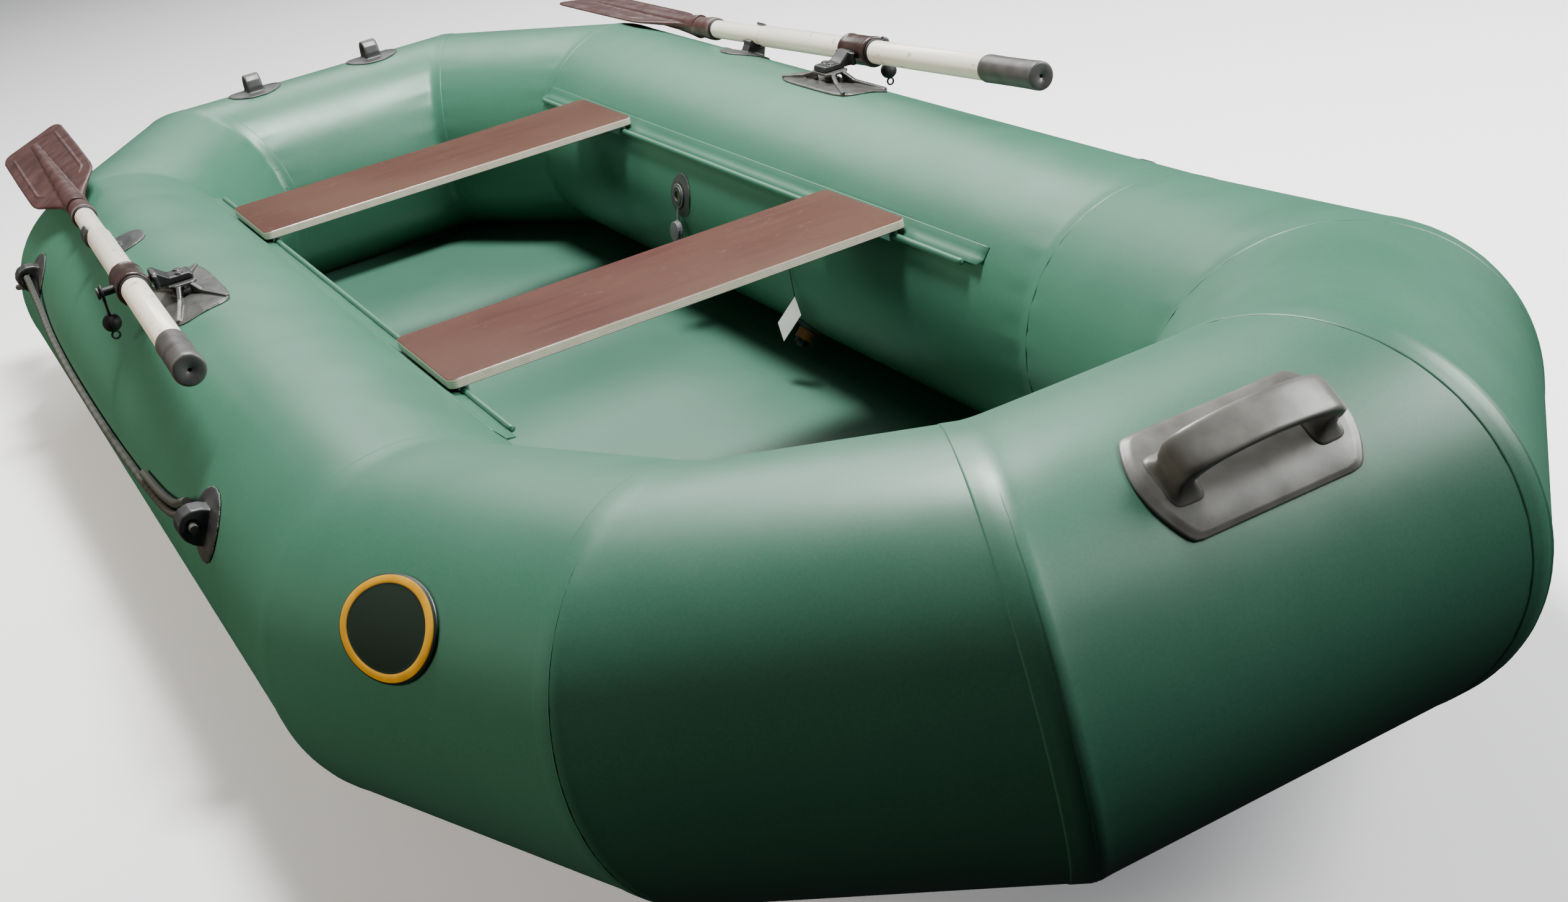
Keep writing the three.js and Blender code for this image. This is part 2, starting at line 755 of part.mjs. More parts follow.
function airValveCap() {
  const ring = pipe(15.5, 18.6, 4.2, 6.6).rotateX(Math.PI / 2);
  const strap = new THREE.BoxGeometry(7, 26, 2.4).translate(0, 29, 5.4);
  const lid = rodZ(15.5, 4.2, 12).translate(0, 55, 0);
  const rim = rodZ(17.5, 4.2, 7).translate(0, 55, 0);
  return join(ring, strap, rim, lid);
}

function floorValveCap() {
  const skirt = rodZ(10.8, 5.4, 27);
  const bar = new THREE.BoxGeometry(18, 4, 5).translate(0, 0, 28.5);
  return join(skirt, bar);
}

// ---- Tag ----

const TAG_CORNER = vec(267.3, -57, 140.5);

function tag() {
  const sheet = new THREE.BoxGeometry(60, 0.6, 32).translate(30, 0, -16);
  return sheet
    .rotateX(rad(30))
    .rotateY(rad(46))
    .rotateZ(rad(112))
    .translate(TAG_CORNER.x, TAG_CORNER.y, TAG_CORNER.z);
}

function tagThread() {
  const drop = [[282, 277.3], [277.5, 257], [273, 238], [269.5, 216], [267.6, 195], [267.3, 175], [267.3, 141.6]];
  return cordAlong(drop.map(([x, z]) => vec(x, TAG_CORNER.y, z)), 0.6, 12, 8);
}

// ---- Assembly ----

const boat = new THREE.Group();
const port = new THREE.Group();
const starboard = new THREE.Group();
starboard.scale.x = -1;
boat.add(port, starboard);

function add(parent, name, geometry, look) {
  const mesh = new THREE.Mesh(geometry, look);
  mesh.name = name;
  parent.add(mesh);
  return mesh;
}

function addPair(name, build, look) {
  add(port, `${name}_port`, build(), look());
  add(starboard, `${name}_starboard`, build(), look());
}

panelNames.forEach((name, k) => {
  add(boat, name, k === PORT_SIDE ? sidePanelPort() : tubePanel(k), pvc());
});
add(boat, 'floor_fabric', floorSheet(), pvc());
addPair('tube_bulkhead', bulkhead, pvc);
addPair('rail_strip', railStrip, pvc);
addPair('rail_bead', railBead, pvc);
add(boat, 'badge', badge(), material(0xc2900f, 0.35));
add(boat, 'carry_handle', carryHandle(), blackRubber());

addPair('eyelet_fore', () => eyelet().applyMatrix4(onPortSide(EYELET_FORE_Y, EYELET_ELEV)), blackRubber);
addPair('eyelet_aft', () => eyelet().applyMatrix4(onPortSide(EYELET_AFT_Y, EYELET_ELEV)), blackRubber);
addPair('eyelet_stern', () => eyelet().applyMatrix4(onPanel(5, STERN_X - STERN_EYELET_X, 90)), blackRubber);
addPair('lifeline', lifeline, () => material(0x2f332e, 0.9));
add(starboard, 'lifeline_tail_starboard', lifelineTail(), material(0x2f332e, 0.9));

[['fore', THWART_FORE_Y], ['aft', THWART_AFT_Y]].forEach(([which, y]) => {
  add(boat, `thwart_${which}`, thwart(y), material(0x7d4a40, 0.35));
  addPair(`channel_${which}`, () => channel(y), () => material(0x8f9497, 0.45));
});

addPair('rowlock_base', rowlockBase, blackPlastic);

// The swivel and all that hangs on it share the turn that the oar is stowed at.
function addOar(side, name) {
  const rest = OAR_REST[name];
  const pivot = new THREE.Group();
  pivot.position.set(ROWLOCK_X, OAR_Y, 0);
  pivot.rotation.z = rad(rest.turn);
  const carried = new THREE.Group();
  carried.position.set(-ROWLOCK_X, -OAR_Y, 0);
  const oar = new THREE.Group();
  oar.position.set(OAR_X, OAR_Y, OAR_Z);
  oar.rotation.x = rad(rest.slope);
  side.add(pivot);
  pivot.add(carried);
  carried.add(oar);
  add(carried, `rowlock_swivel_${name}`, rowlockSwivel(), blackPlastic());
  add(carried, `rowlock_cap_${name}`, rowlockCap(), blackRubber());
  add(oar, `oar_grip_${name}`, oarGrip(), material(0x414143, 0.5));
  add(oar, `oar_upper_shaft_${name}`, upperShaft(), ivory());
  add(oar, `oar_collar_${name}`, oarCollar(), material(0x3a2f2d, 0.35));
  add(oar, `oar_lower_shaft_${name}`, lowerShaft(), ivory());
  add(oar, `oar_blade_${name}`, oarBlade(rest), blackPlastic());
  add(side, `oar_clip_${name}`, oarClip(rest), blackRubber());
}

addOar(port, 'port');
addOar(starboard, 'starboard');

const airValve = new THREE.Group();
airValve.applyMatrix4(onPortSide(AIR_VALVE_Y, AIR_VALVE_ELEV));
const floorValve = new THREE.Group();
floorValve.applyMatrix4(onPortSide(FLOOR_VALVE_Y, FLOOR_VALVE_ELEV));
boat.add(airValve, floorValve);
add(airValve, 'air_valve_body', valveBody(68, 16.8, 15, 8), blackRubber());
add(airValve, 'air_valve_stem', rodZ(6.3, -17, 5.5), material(0x9a7a3a, 0.4, 0.6));
add(airValve, 'air_valve_cap', airValveCap(), material(0x4b4d4e, 0.5));
add(floorValve, 'floor_valve_body', valveBody(56, 16.8, 14.6, 5), blackRubber());
add(floorValve, 'floor_valve_ring', pipe(11.2, 13.6, 5.4, 20).rotateX(Math.PI / 2), material(0xa2571f, 0.45));
add(floorValve, 'floor_valve_cap', floorValveCap(), blackPlastic());

add(boat, 'tag', tag(), material(0xe8e6df, 0.8));
add(boat, 'tag_thread', tagThread(), material(0x4a463e, 0.9));

export default boat;
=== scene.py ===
import math

import bpy
from mathutils import Matrix, Vector


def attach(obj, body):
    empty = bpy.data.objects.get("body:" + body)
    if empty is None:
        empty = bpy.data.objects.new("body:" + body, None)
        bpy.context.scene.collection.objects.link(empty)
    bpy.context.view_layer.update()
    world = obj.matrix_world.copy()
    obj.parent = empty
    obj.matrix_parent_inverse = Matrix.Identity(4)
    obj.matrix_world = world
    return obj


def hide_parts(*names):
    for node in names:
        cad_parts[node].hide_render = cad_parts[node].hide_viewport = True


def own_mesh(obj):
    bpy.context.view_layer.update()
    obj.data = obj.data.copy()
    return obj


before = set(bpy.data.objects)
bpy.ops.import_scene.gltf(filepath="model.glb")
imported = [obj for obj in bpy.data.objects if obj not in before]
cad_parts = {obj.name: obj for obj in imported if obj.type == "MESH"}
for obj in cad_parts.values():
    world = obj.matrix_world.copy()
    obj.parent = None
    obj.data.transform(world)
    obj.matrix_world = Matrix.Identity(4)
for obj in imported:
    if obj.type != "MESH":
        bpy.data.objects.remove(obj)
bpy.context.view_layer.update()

# Driving sizes, in metres: X to port, Y aft, Z up
R = 0.18  # of the tubes
AXIS_Z = R * math.cos(math.pi / 48)
SIDE_X, SIDE_FORE_Y, SIDE_AFT_Y = 0.449, -0.651, 0.943
SHOULDER_X, SHOULDER_Y, SHOULDER_RISE = 0.340, -1.079, 0.071
BOW_X, BOW_Y, BOW_RISE = 0.145, -1.271, 0.100
STERN_X, STERN_Y = 0.248, 1.271
LAP, SEAM_LIFT = 0.022, 0.0007  # how far a seam overlaps, and how far its edge stands proud
BEAD_X, BEAD_Z, BEAD_R = 0.287, 0.2835, 0.004
OAR = Vector((0.545, 0.149, 0.387))  # the middle of the port oar's collar
PIN = Vector((0.582, 0.149, 0.387))  # where the loop hangs on the port rowlock's pin
PIVOT = Vector((0.486, 0.149, 0))  # on the axis that the port rowlock turns about
# How each stowed oar lies, in degrees: turned, sloped and rolled, and the bend at its palm
OAR_REST = {"port": (0, -2.8, 8, 2), "starboard": (2.3, -1.9, 20, 3.8)}
ROPE_R = 0.005


# ---- Camera ----

CAMERA_PLACE = (-0.8088, -2.4485, 1.0802)
CAMERA_AIM = (22.95, -23.945, -11.894)  # yaw, pitch and roll, in degrees
CAMERA_LENS, CAMERA_SENSOR = 46.19, 36  # in millimetres


def aim_camera():
    yaw, pitch, roll = (math.radians(a) for a in CAMERA_AIM)
    level_run = math.cos(pitch)
    forward = Vector((math.sin(yaw) * level_run, math.cos(yaw) * level_run, math.sin(pitch)))
    level = Vector((math.cos(yaw), -math.sin(yaw), 0))
    above = level.cross(forward)
    right = level * math.cos(roll) + above * math.sin(roll)
    up = above * math.cos(roll) - level * math.sin(roll)
    camera = bpy.data.objects.new("camera", bpy.data.cameras.new("camera"))
    camera.data.sensor_fit = "HORIZONTAL"
    camera.data.sensor_width = CAMERA_SENSOR
    camera.data.lens = CAMERA_LENS
    turn = Matrix((right, up, -forward)).transposed().to_4x4()
    camera.matrix_world = Matrix.Translation(CAMERA_PLACE) @ turn
    bpy.context.scene.collection.objects.link(camera)
    bpy.context.scene.camera = camera


aim_camera()


# ---- Mesh tools ----

def link(name, data):
    obj = bpy.data.objects.new(name, data)
    bpy.context.scene.collection.objects.link(obj)
    return obj


def piece(name, verts, faces, material, body="hull", stands_for=(), mirror=False, sharp=False):
    """A mesh piece that rides on a body and stands for CAD nodes. Flat ends stay flat."""
    if mirror:
        verts = [(-v[0], v[1], v[2]) for v in verts]
        faces = [tuple(reversed(f)) for f in faces]
    mesh = bpy.data.meshes.new(name)
    mesh.from_pydata([tuple(v) for v in verts], [], faces)
    mesh.update()
    for face in mesh.polygons:
        face.use_smooth = not sharp and face.loop_total <= 4
    mesh.materials.append(material)
    obj = link(name, mesh)
    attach(obj, body)
    if stands_for:
        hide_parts(*stands_for)
    return obj


def strip_faces(rows, columns, around=True, ends=False):
    """Quads over a grid of rows, each row a ring when around is set."""
    faces = []
    for i in range(rows - 1):
        for j in range(columns if around else columns - 1):
            k = (j + 1) % columns
            here, there = i * columns, (i + 1) * columns
            faces.append((here + j, here + k, there + k, there + j))
    if ends:
        faces.append(tuple(range(columns - 1, -1, -1)))
        faces.append(tuple((rows - 1) * columns + j for j in range(columns)))
    return faces


def turned(profile, sides=48):
    """Rings of a shape turned about local Y, from (radius, y) pairs, with both ends closed."""
    verts = []
    for radius, y in profile:
        for j in range(sides):
            a = 2 * math.pi * j / sides
            verts.append(Vector((radius * math.sin(a), y, radius * math.cos(a))))
    return verts, strip_faces(len(profile), sides, ends=True)


def smooth_curve(points):
    """A centripetal Catmull-Rom curve through the points."""
    per_span = 8
    ends = [points[0] * 2 - points[1], *points, points[-1] * 2 - points[-2]]
    path = []
    for p0, p1, p2, p3 in zip(ends, ends[1:], ends[2:], ends[3:]):
        t1 = max((p1 - p0).length, 1e-9) ** 0.5
        t2 = t1 + max((p2 - p1).length, 1e-9) ** 0.5
        t3 = t2 + max((p3 - p2).length, 1e-9) ** 0.5
        for i in range(per_span):
            t = t1 + (t2 - t1) * i / per_span
            a1 = p0 * ((t1 - t) / t1) + p1 * (t / t1)
            a2 = p1 * ((t2 - t) / (t2 - t1)) + p2 * ((t - t1) / (t2 - t1))
            a3 = p2 * ((t3 - t) / (t3 - t2)) + p3 * ((t - t2) / (t3 - t2))
            b1 = a1 * ((t2 - t) / t2) + a2 * (t / t2)
            b2 = a2 * ((t3 - t) / (t3 - t1)) + a3 * ((t - t1) / (t3 - t1))
            path.append(b1 * ((t2 - t) / (t2 - t1)) + b2 * ((t - t1) / (t2 - t1)))
    path.append(points[-1].copy())
    return path


# ---- Materials ----

class Nodes:
    """A short way to write a material's node tree."""

    def __init__(self, name):
        self.material = bpy.data.materials.new(name)
        self.material.use_nodes = True
        self.tree = self.material.node_tree
        self.shader = self.tree.nodes["Principled BSDF"]
        self.place = self.add("ShaderNodeTexCoord").outputs["Object"]

    def add(self, kind, **settings):
        node = self.tree.nodes.new(kind)
        for key, value in settings.items():
            setattr(node, key, value)
        return node

    def join(self, source, target):
        self.tree.links.new(source, target)

    def stretch(self, scale):
        node = self.add("ShaderNodeMapping")
        node.inputs["Scale"].default_value = scale
        self.join(self.place, node.inputs["Vector"])
        return node.outputs["Vector"]

    def noise(self, scale, detail=2, where=None):
        node = self.add("ShaderNodeTexNoise")
        node.inputs["Scale"].default_value = scale
        node.inputs["Detail"].default_value = detail
        self.join(where or self.place, node.inputs["Vector"])
        return node.outputs["Fac"]

    def wave(self, scale, direction, distortion=0.0):
        node = self.add("ShaderNodeTexWave", bands_direction=direction)
        node.inputs["Scale"].default_value = scale
        node.inputs["Distortion"].default_value = distortion
        self.join(self.place, node.inputs["Vector"])
        return node.outputs["Fac"]

    def span(self, value, low, high, to_low=0.0, to_high=1.0):
        node = self.add("ShaderNodeMapRange")
        self.join(value, node.inputs["Value"])
        limits = {"From Min": low, "From Max": high, "To Min": to_low, "To Max": to_high}
        for key, number in limits.items():
            node.inputs[key].default_value = number
        return node.outputs["Result"]

    def mix(self, factor, a, b):
        node = self.add("ShaderNodeMix", data_type="RGBA")
        self.join(factor, node.inputs["Factor"])
        for socket, value in ((node.inputs["A"], a), (node.inputs["B"], b)):
            if isinstance(value, tuple):
                socket.default_value = (*value, 1)
            else:
                self.join(value, socket)
        return node.outputs["Result"]

    def maths(self, operation, a, b):
        node = self.add("ShaderNodeMath", operation=operation)
        for socket, value in zip(node.inputs, (a, b)):
            if isinstance(value, (int, float)):
                socket.default_value = value
            else:
                self.join(value, socket)
        return node.outputs["Value"]

    def bump(self, height, distance, strength, over=None):
        node = self.add("ShaderNodeBump")
        node.inputs["Distance"].default_value = distance
        node.inputs["Strength"].default_value = strength
        self.join(height, node.inputs["Height"])
        if over:
            self.join(over, node.inputs["Normal"])
        return node.outputs["Normal"]

    def finish(self, color, roughness, normal, **values):
        self.join(color, self.shader.inputs["Base Color"])
        if isinstance(roughness, float):
            self.shader.inputs["Roughness"].default_value = roughness
        else:
            self.join(roughness, self.shader.inputs["Roughness"])
        self.join(normal, self.shader.inputs["Normal"])
        for key, value in values.items():
            self.shader.inputs[key.replace("_", " ")].default_value = value
        return self.material


def coated_fabric(name, color, dark):
    """Calendered PVC on a woven base: a faint weave, slight orange peel and pale specks."""
    n = Nodes(name)
    cloud = n.noise(3.5, 4)
    speck = n.noise(420, 2)
    shade = n.mix(n.span(cloud, 0.3, 0.7, 0.0, 0.55), color, dark)
    shade = n.mix(n.span(speck, 0.35, 0.65, 0.0, 0.02), shade, (0.5, 0.55, 0.5))
    rough = n.span(n.noise(9, 5), 0.3, 0.7, 0.37, 0.46)
    weave = n.maths("MULTIPLY", n.wave(420, "Y"), n.wave(420, "X"))
    normal = n.bump(n.noise(5, 3), 0.0035, 0.35)
    normal = n.bump(weave, 0.00005, 0.22, normal)
    normal = n.bump(n.noise(160, 3), 0.00025, 0.1, normal)
    tint = (0.86, 1, 0.92, 1)
    return n.finish(shade, rough, normal, Specular_IOR_Level=0.55, Specular_Tint=tint)


def moulded(name, color, rough=0.42, grain=700, lift=0.00012, worn=(0.45, 0.44, 0.42), wear=0.1):
    """Moulded rubber or plastic: fine grain, cloudy sheen and rubbed edges."""
    n = Nodes(name)
    cloud = n.span(n.noise(28, 4), 0.35, 0.7)
    base = n.mix(cloud, color, tuple(min(1, c * 1.6 + 0.006) for c in color))
    edge = n.span(n.add("ShaderNodeNewGeometry").outputs["Pointiness"], 0.52, 0.6, 0.0, wear * 3)
    patchy = n.maths("MULTIPLY", edge, n.span(n.noise(60, 3), 0.35, 0.6))
    shade = n.mix(patchy, base, worn)
    sheen = n.span(n.noise(45, 3), 0.3, 0.7, rough - 0.07, rough + 0.1)
    normal = n.bump(n.noise(grain, 2), lift, 0.35)
    normal = n.bump(n.noise(35, 2), 0.0006, 0.2, normal)
    return n.finish(shade, sheen, normal, Specular_IOR_Level=0.5)


def painted_tube(name):
    """Ivory enamel with long faint streaks and small scuffs."""
    n = Nodes(name)
    streak = n.noise(30, 4, n.stretch((6, 0.25, 6)))
    faded = n.span(streak, 0.35, 0.75, 0.0, 0.5)
    shade = n.mix(faded, (0.80, 0.765, 0.68), (0.66, 0.62, 0.53))
    scuff = n.span(n.noise(70, 5, n.stretch((1, 0.5, 1))), 0.64, 0.7)
    shade = n.mix(scuff, shade, (0.42, 0.39, 0.34))
    rough = n.span(streak, 0.3, 0.7, 0.2, 0.34)
    normal = n.bump(n.noise(240, 2), 0.0001, 0.25)
    return n.finish(shade, rough, normal, Coat_Weight=0.3, Coat_Roughness=0.12)


def film_plywood(name):
    """Brown film-faced plywood: glossy printed film on top with broad lighter patches of painted
    reflection, pale veneers at the edge.
    """
    n = Nodes(name)
    grain = n.noise(14, 6, n.stretch((0.6, 6, 1)))
    film = n.mix(n.span(grain, 0.3, 0.7), (0.062, 0.021, 0.015), (0.090, 0.033, 0.024))
    # Broad lighter reddish patches on the film: painted reflection of the surroundings.
    film = n.mix(n.span(n.noise(3.1, 2), 0.35, 0.7, 0, 0.8), film, (0.112, 0.060, 0.040))
    film = n.mix(n.span(n.noise(130, 5), 0.62, 0.75, 0, 0.3), film, (0.2, 0.15, 0.12))
    layers = n.wave(118, "Z", distortion=0.3)
    veneer = n.mix(layers, (0.80, 0.72, 0.60), (0.56, 0.48, 0.37))
    veneer = n.mix(n.span(n.noise(90, 4), 0.4, 0.75, 0, 0.35), veneer, (0.42, 0.34, 0.25))
    split = n.add("ShaderNodeSeparateXYZ")
    n.join(n.add("ShaderNodeNewGeometry").outputs["Normal"], split.inputs["Vector"])
    flat = n.span(n.maths("ABSOLUTE", split.outputs["Z"], 0), 0.45, 0.75)
    shade = n.mix(flat, veneer, film)
    rough = n.span(flat, 0, 1, 0.62, 0.17)
    normal = n.bump(n.noise(300, 3, n.stretch((0.5, 3, 1))), 0.00012, 0.25)
    normal = n.bump(layers, 0.0002, 0.2, normal)
    return n.finish(shade, rough, normal, Coat_Weight=0.2, Coat_Roughness=0.12)


def braided_rope(name):
    """Dark braided cord with crossing strands."""
    n = Nodes(name)
    n.place = n.tree.nodes["Texture Coordinate"].outputs["UV"]
    over = n.add("ShaderNodeMapping")
    over.inputs["Rotation"].default_value[2] = math.radians(45)
    over.inputs["Scale"].default_value = (150, 6, 1)
    n.join(n.place, over.inputs["Vector"])
    strands = n.add("ShaderNodeTexChecker")
    strands.inputs["Scale"].default_value = 1.0
    n.join(over.outputs["Vector"], strands.inputs["Vector"])
    n.place = n.tree.nodes["Texture Coordinate"].outputs["Object"]
    fibre = n.noise(900, 3)
    shade = n.mix(strands.outputs["Fac"], (0.022, 0.026, 0.021), (0.05, 0.055, 0.046))
    shade = n.mix(n.span(fibre, 0.45, 0.7, 0, 0.5), shade, (0.12, 0.12, 0.1))
    normal = n.bump(strands.outputs["Fac"], 0.0006, 0.5)
    normal = n.bump(fibre, 0.0004, 0.5, normal)
    return n.finish(shade, 0.85, normal)


def metal(name, color, rough):
    """Drawn or turned metal with a fine lengthwise grain."""
    n = Nodes(name)
    drawn = n.noise(240, 3, n.stretch((3, 0.1, 3)))
    shade = n.mix(drawn, color, tuple(c * 0.7 for c in color))
    rough_map = n.span(n.noise(60, 4), 0.3, 0.7, rough - 0.06, rough + 0.12)
    return n.finish(shade, rough_map, n.bump(drawn, 0.0001, 0.3), Metallic=1.0)


def card(name):
    """White tag card with soft fibres and slightly grey creases."""
    n = Nodes(name)
    fibre = n.noise(500, 4)
    grey = n.span(n.noise(50, 4), 0.4, 0.7, 0, 0.4)
    shade = n.mix(grey, (0.84, 0.83, 0.79), (0.66, 0.65, 0.6))
    return n.finish(shade, 0.75, n.bump(fibre, 0.0003, 0.4))


PVC = coated_fabric("pvc_green", (0.036, 0.132, 0.082), (0.026, 0.106, 0.063))
FLOOR_PVC = coated_fabric("pvc_floor", (0.050, 0.146, 0.098), (0.038, 0.118, 0.077))
RUBBER = moulded("rubber_grey", (0.024, 0.025, 0.025), 0.42, wear=0.2)
FOOT = moulded("plastic_grey", (0.042, 0.042, 0.039), 0.3, worn=(0.62, 0.60, 0.57), wear=0.2)
BLACK = moulded("plastic_black", (0.012, 0.012, 0.012), 0.3, worn=(0.4, 0.39, 0.37), wear=0.2)
BLADE = moulded("blade_plastic", (0.042, 0.019, 0.017), 0.36, grain=500,
                worn=(0.36, 0.3, 0.27), wear=0.3)
GRIP = moulded("grip_rubber", (0.044, 0.042, 0.040), 0.38, grain=380, lift=0.0002)
COLLAR = moulded("collar_plastic", (0.028, 0.016, 0.013), 0.22, wear=0)
CAP = moulded("cap_rubber", (0.008, 0.008, 0.008), 0.6, wear=0)
HANDLE = moulded("handle_rubber", (0.080, 0.079, 0.070), 0.34, lift=0.00008, wear=0.05)
IVORY = painted_tube("shaft_enamel")
PLY = film_plywood("film_plywood")
ROPE = braided_rope("rope_braid")
ALLOY = metal("channel_alloy", (0.52, 0.53, 0.54), 0.38)
BRASS = metal("valve_brass", (0.45, 0.30, 0.11), 0.36)
ORANGE = moulded("ring_orange", (0.36, 0.10, 0.02), 0.4)
GREY = moulded("lid_grey", (0.065, 0.067, 0.07), 0.5)
CARD = card("tag_card")


# ---- The ring of tubes ----

CORNERS = [
    Vector((-BOW_X, BOW_Y, AXIS_Z + BOW_RISE)),
    Vector((BOW_X, BOW_Y, AXIS_Z + BOW_RISE)),
    Vector((SHOULDER_X, SHOULDER_Y, AXIS_Z + SHOULDER_RISE)),
    Vector((SIDE_X, SIDE_FORE_Y, AXIS_Z)),
    Vector((SIDE_X, SIDE_AFT_Y, AXIS_Z)),
    Vector((STERN_X, STERN_Y, AXIS_Z)),
    Vector((-STERN_X, STERN_Y, AXIS_Z)),
    Vector((-SIDE_X, SIDE_AFT_Y, AXIS_Z)),
    Vector((-SIDE_X, SIDE_FORE_Y, AXIS_Z)),
    Vector((-SHOULDER_X, SHOULDER_Y, AXIS_Z + SHOULDER_RISE)),
]
PANELS = [
    "tube_bow_centre",
    "tube_bow_shoulder_port",
    "tube_bow_cheek_port",
    "tube_side_port",
    "tube_quarter_port",
    "tube_stern_centre",
    "tube_quarter_starboard",
    "tube_side_starboard",
    "tube_bow_cheek_starboard",
    "tube_bow_shoulder_starboard",
]
COUNT = len(PANELS)
BADGE_CHEEK = PANELS.index("tube_bow_cheek_starboard")


def panel_frame(k):
    """A panel's first corner, its axis, and the directions outboard and upward from it."""
    start = CORNERS[k % COUNT]
    along = (CORNERS[(k + 1) % COUNT] - start).normalized()
    out = along.cross(Vector((0, 0, 1))).normalized()
    return start, along, out, out.cross(along)


def mitre_normal(k):
    return (panel_frame(k - 1)[1] + panel_frame(k)[1]).normalized()


def on_mitre(panel, k, angle, radius):
    """The point where a line along a panel meets the seam at corner k."""
    start, along, out, up = panel_frame(panel)
    point = start + out * (radius * math.cos(angle)) + up * (radius * math.sin(angle))
    normal = mitre_normal(k)
    return point + along * ((CORNERS[k % COUNT] - point).dot(normal) / along.dot(normal))


def on_panel(k, distance, elevation):
    """The place on a panel: local X along the tube, Z straight out of it."""
    start, along, out, up = panel_frame(k)
    a = math.radians(elevation)
    normal = out * math.cos(a) + up * math.sin(a)
    turn = Matrix((along, normal.cross(along), normal)).transposed().to_4x4()
    return Matrix.Translation(start + along * distance + normal * R) @ turn


def pucker(k, angle, distance):
    """Small folds that fade away from a seam, strongest inside the bend."""
    inside = max(0.0, -math.cos(angle)) ** 1.5
    phase = k * 1.7
    folds = math.sin(angle * 31 + phase) + 0.6 * math.sin(angle * 53 + 2 * phase)
    fade = math.exp(-((distance / 0.045) ** 2))
    return fade * (0.0001 + 0.0007 * inside) * folds


# The rows of points across a lap, as its distance from the edge and its share of the lift
LAP_ROWS = ((0, 0.1), (0.0005, 0.7), (0.0012, 0.95), (0.0022, 1), (0.009, 1), (LAP - 0.004, 1))
NEAR_SEAM = [0.004, 0.009, 0.016, 0.026, 0.04, 0.06, 0.085]
LONG_RUN, ROW_PITCH, LIFT_FADE, MOST_SWELL = 0.2, 0.05, 0.012, 0.0016


def tube_skin(k, sides=128):
    """One panel. Its forward edge laps over its neighbour across the seam."""
    angles = [2 * math.pi * j / sides for j in range(sides)]
    back = panel_frame(k - 1)[1]
    out, up = panel_frame(k)[2:]
    rows = []
    for distance, share in LAP_ROWS:
        radius = R + share * SEAM_LIFT
        rows.append([on_mitre(k - 1, k, a, radius) - back * (LAP - distance) for a in angles])
    length = (CORNERS[(k + 1) % COUNT] - CORNERS[k]).length
    middle = max(4, int((length - 2 * NEAR_SEAM[-1]) / ROW_PITCH))
    stations = [(d, "start") for d in NEAR_SEAM]
    stations += [(i / middle, "share") for i in range(1, middle)]
    stations += [(d, "end") for d in reversed(NEAR_SEAM)] + [(0.0, "end")]
    for value, kind in stations:
        row = []
        for a in angles:
            first, last = on_mitre(k, k, a, R), on_mitre(k, k + 1, a, R)
            run = (last - first).length
            scale = min(1.0, run / LONG_RUN)
            if kind == "start":
                at = value * scale
            elif kind == "end":
                at = run - value * scale
            else:
                at = NEAR_SEAM[-1] * scale + value * (run - 2 * NEAR_SEAM[-1] * scale)
            swell = SEAM_LIFT * max(0.0, 1 - at / LIFT_FADE)
            swell = swell + pucker(k, a, at) + pucker(k + 1, a, run - at)
            normal = out * math.cos(a) + up * math.sin(a)
            row.append(first + (last - first) * (at / run) + normal * min(swell, MOST_SWELL))
        rows.append(row)
    verts = [v for row in rows for v in row]
    name = PANELS[k].replace("tube_", "skin_")
    piece(name, verts, strip_faces(len(rows), sides), PVC, stands_for=[PANELS[k]])


def floor_sheet():
    """The floor, bonded under the tubes, with soft shallow waves where it is slack."""
    reach = R + 0.0012
    loops = []
    for degrees in (-102, -109, -116.25):
        a = math.radians(degrees)
        loops.append([(on_mitre(k - 1, k, a, reach) + on_mitre(k, k, a, reach)) / 2
                      for k in range(COUNT)])
    rim = loops[2]
    across = [(1, 0), (2, 9), (3, 8), (4, 7), (5, 6)]
    stations = [(rim[a], rim[b]) for a, b in across]
    rows, columns = [], 33
    for (p0, s0), (p1, s1) in zip(stations, stations[1:]):
        count = max(4, int((p1 - p0).length / 0.04))
        for i in range(count):
            t = i / count
            rows.append((p0.lerp(p1, t), s0.lerp(s1, t)))
    rows.append(stations[-1])
    verts = []
    for p, s in rows:
        for j in range(columns):
            u = j / (columns - 1)
            point = p.lerp(s, u)
            slack = math.sin(math.pi * u) ** 0.7
            ends = min(1.0, (point.y + 1.25) / 0.2, (1.2 - point.y) / 0.2)
            wave = 0.5 * math.sin(7.3 * point.y + 3 * point.x)
            wave += 0.35 * math.sin(13 * point.x - 4.1 * point.y)
            point.z += 0.003 * slack * max(0, ends) * wave - 0.002 * slack
            verts.append(point)
    faces = strip_faces(len(rows), columns, around=False)
    for low, high in ((loops[0], loops[1]), (loops[1], loops[2])):
        base = len(verts)
        verts += low + high
        faces += [tuple(base + i for i in face) for face in strip_faces(2, COUNT)]
    obj = piece("floor_sheet", verts, faces, FLOOR_PVC, stands_for=["floor_fabric"])


for index in range(COUNT):
    tube_skin(index)
floor_sheet()


# ---- Rails and thwarts ----

RAIL_FORE_Y, RAIL_LENGTH, RAIL_STEPS = -0.524, 1.412, 60
BEAD_FORE_Y, BEAD_AFT_Y = -0.5, 0.866
THWART_Y = {"fore": -0.247, "aft": 0.610}
# The strip's free edge, beside the bead, and how far in from it the strip ripples
HEM_X, HEM_UNDER_Z, HEM_OVER_Z, RIPPLE_X = 0.2914, 0.2830, 0.2840, 0.296
# The bonded part of its section: elevations on the tube in degrees, and heights over it
FLAP_UNDER = ((35, 0.0006), (36.7, 0.0004), (39, 0.0002), (41.2, -0.0003))
FLAP_OVER = ((41.2, 0.0001), (41.1, 0.0007), (40.8, 0.0009), (38.5, 0.0011), (36, 0.0014))


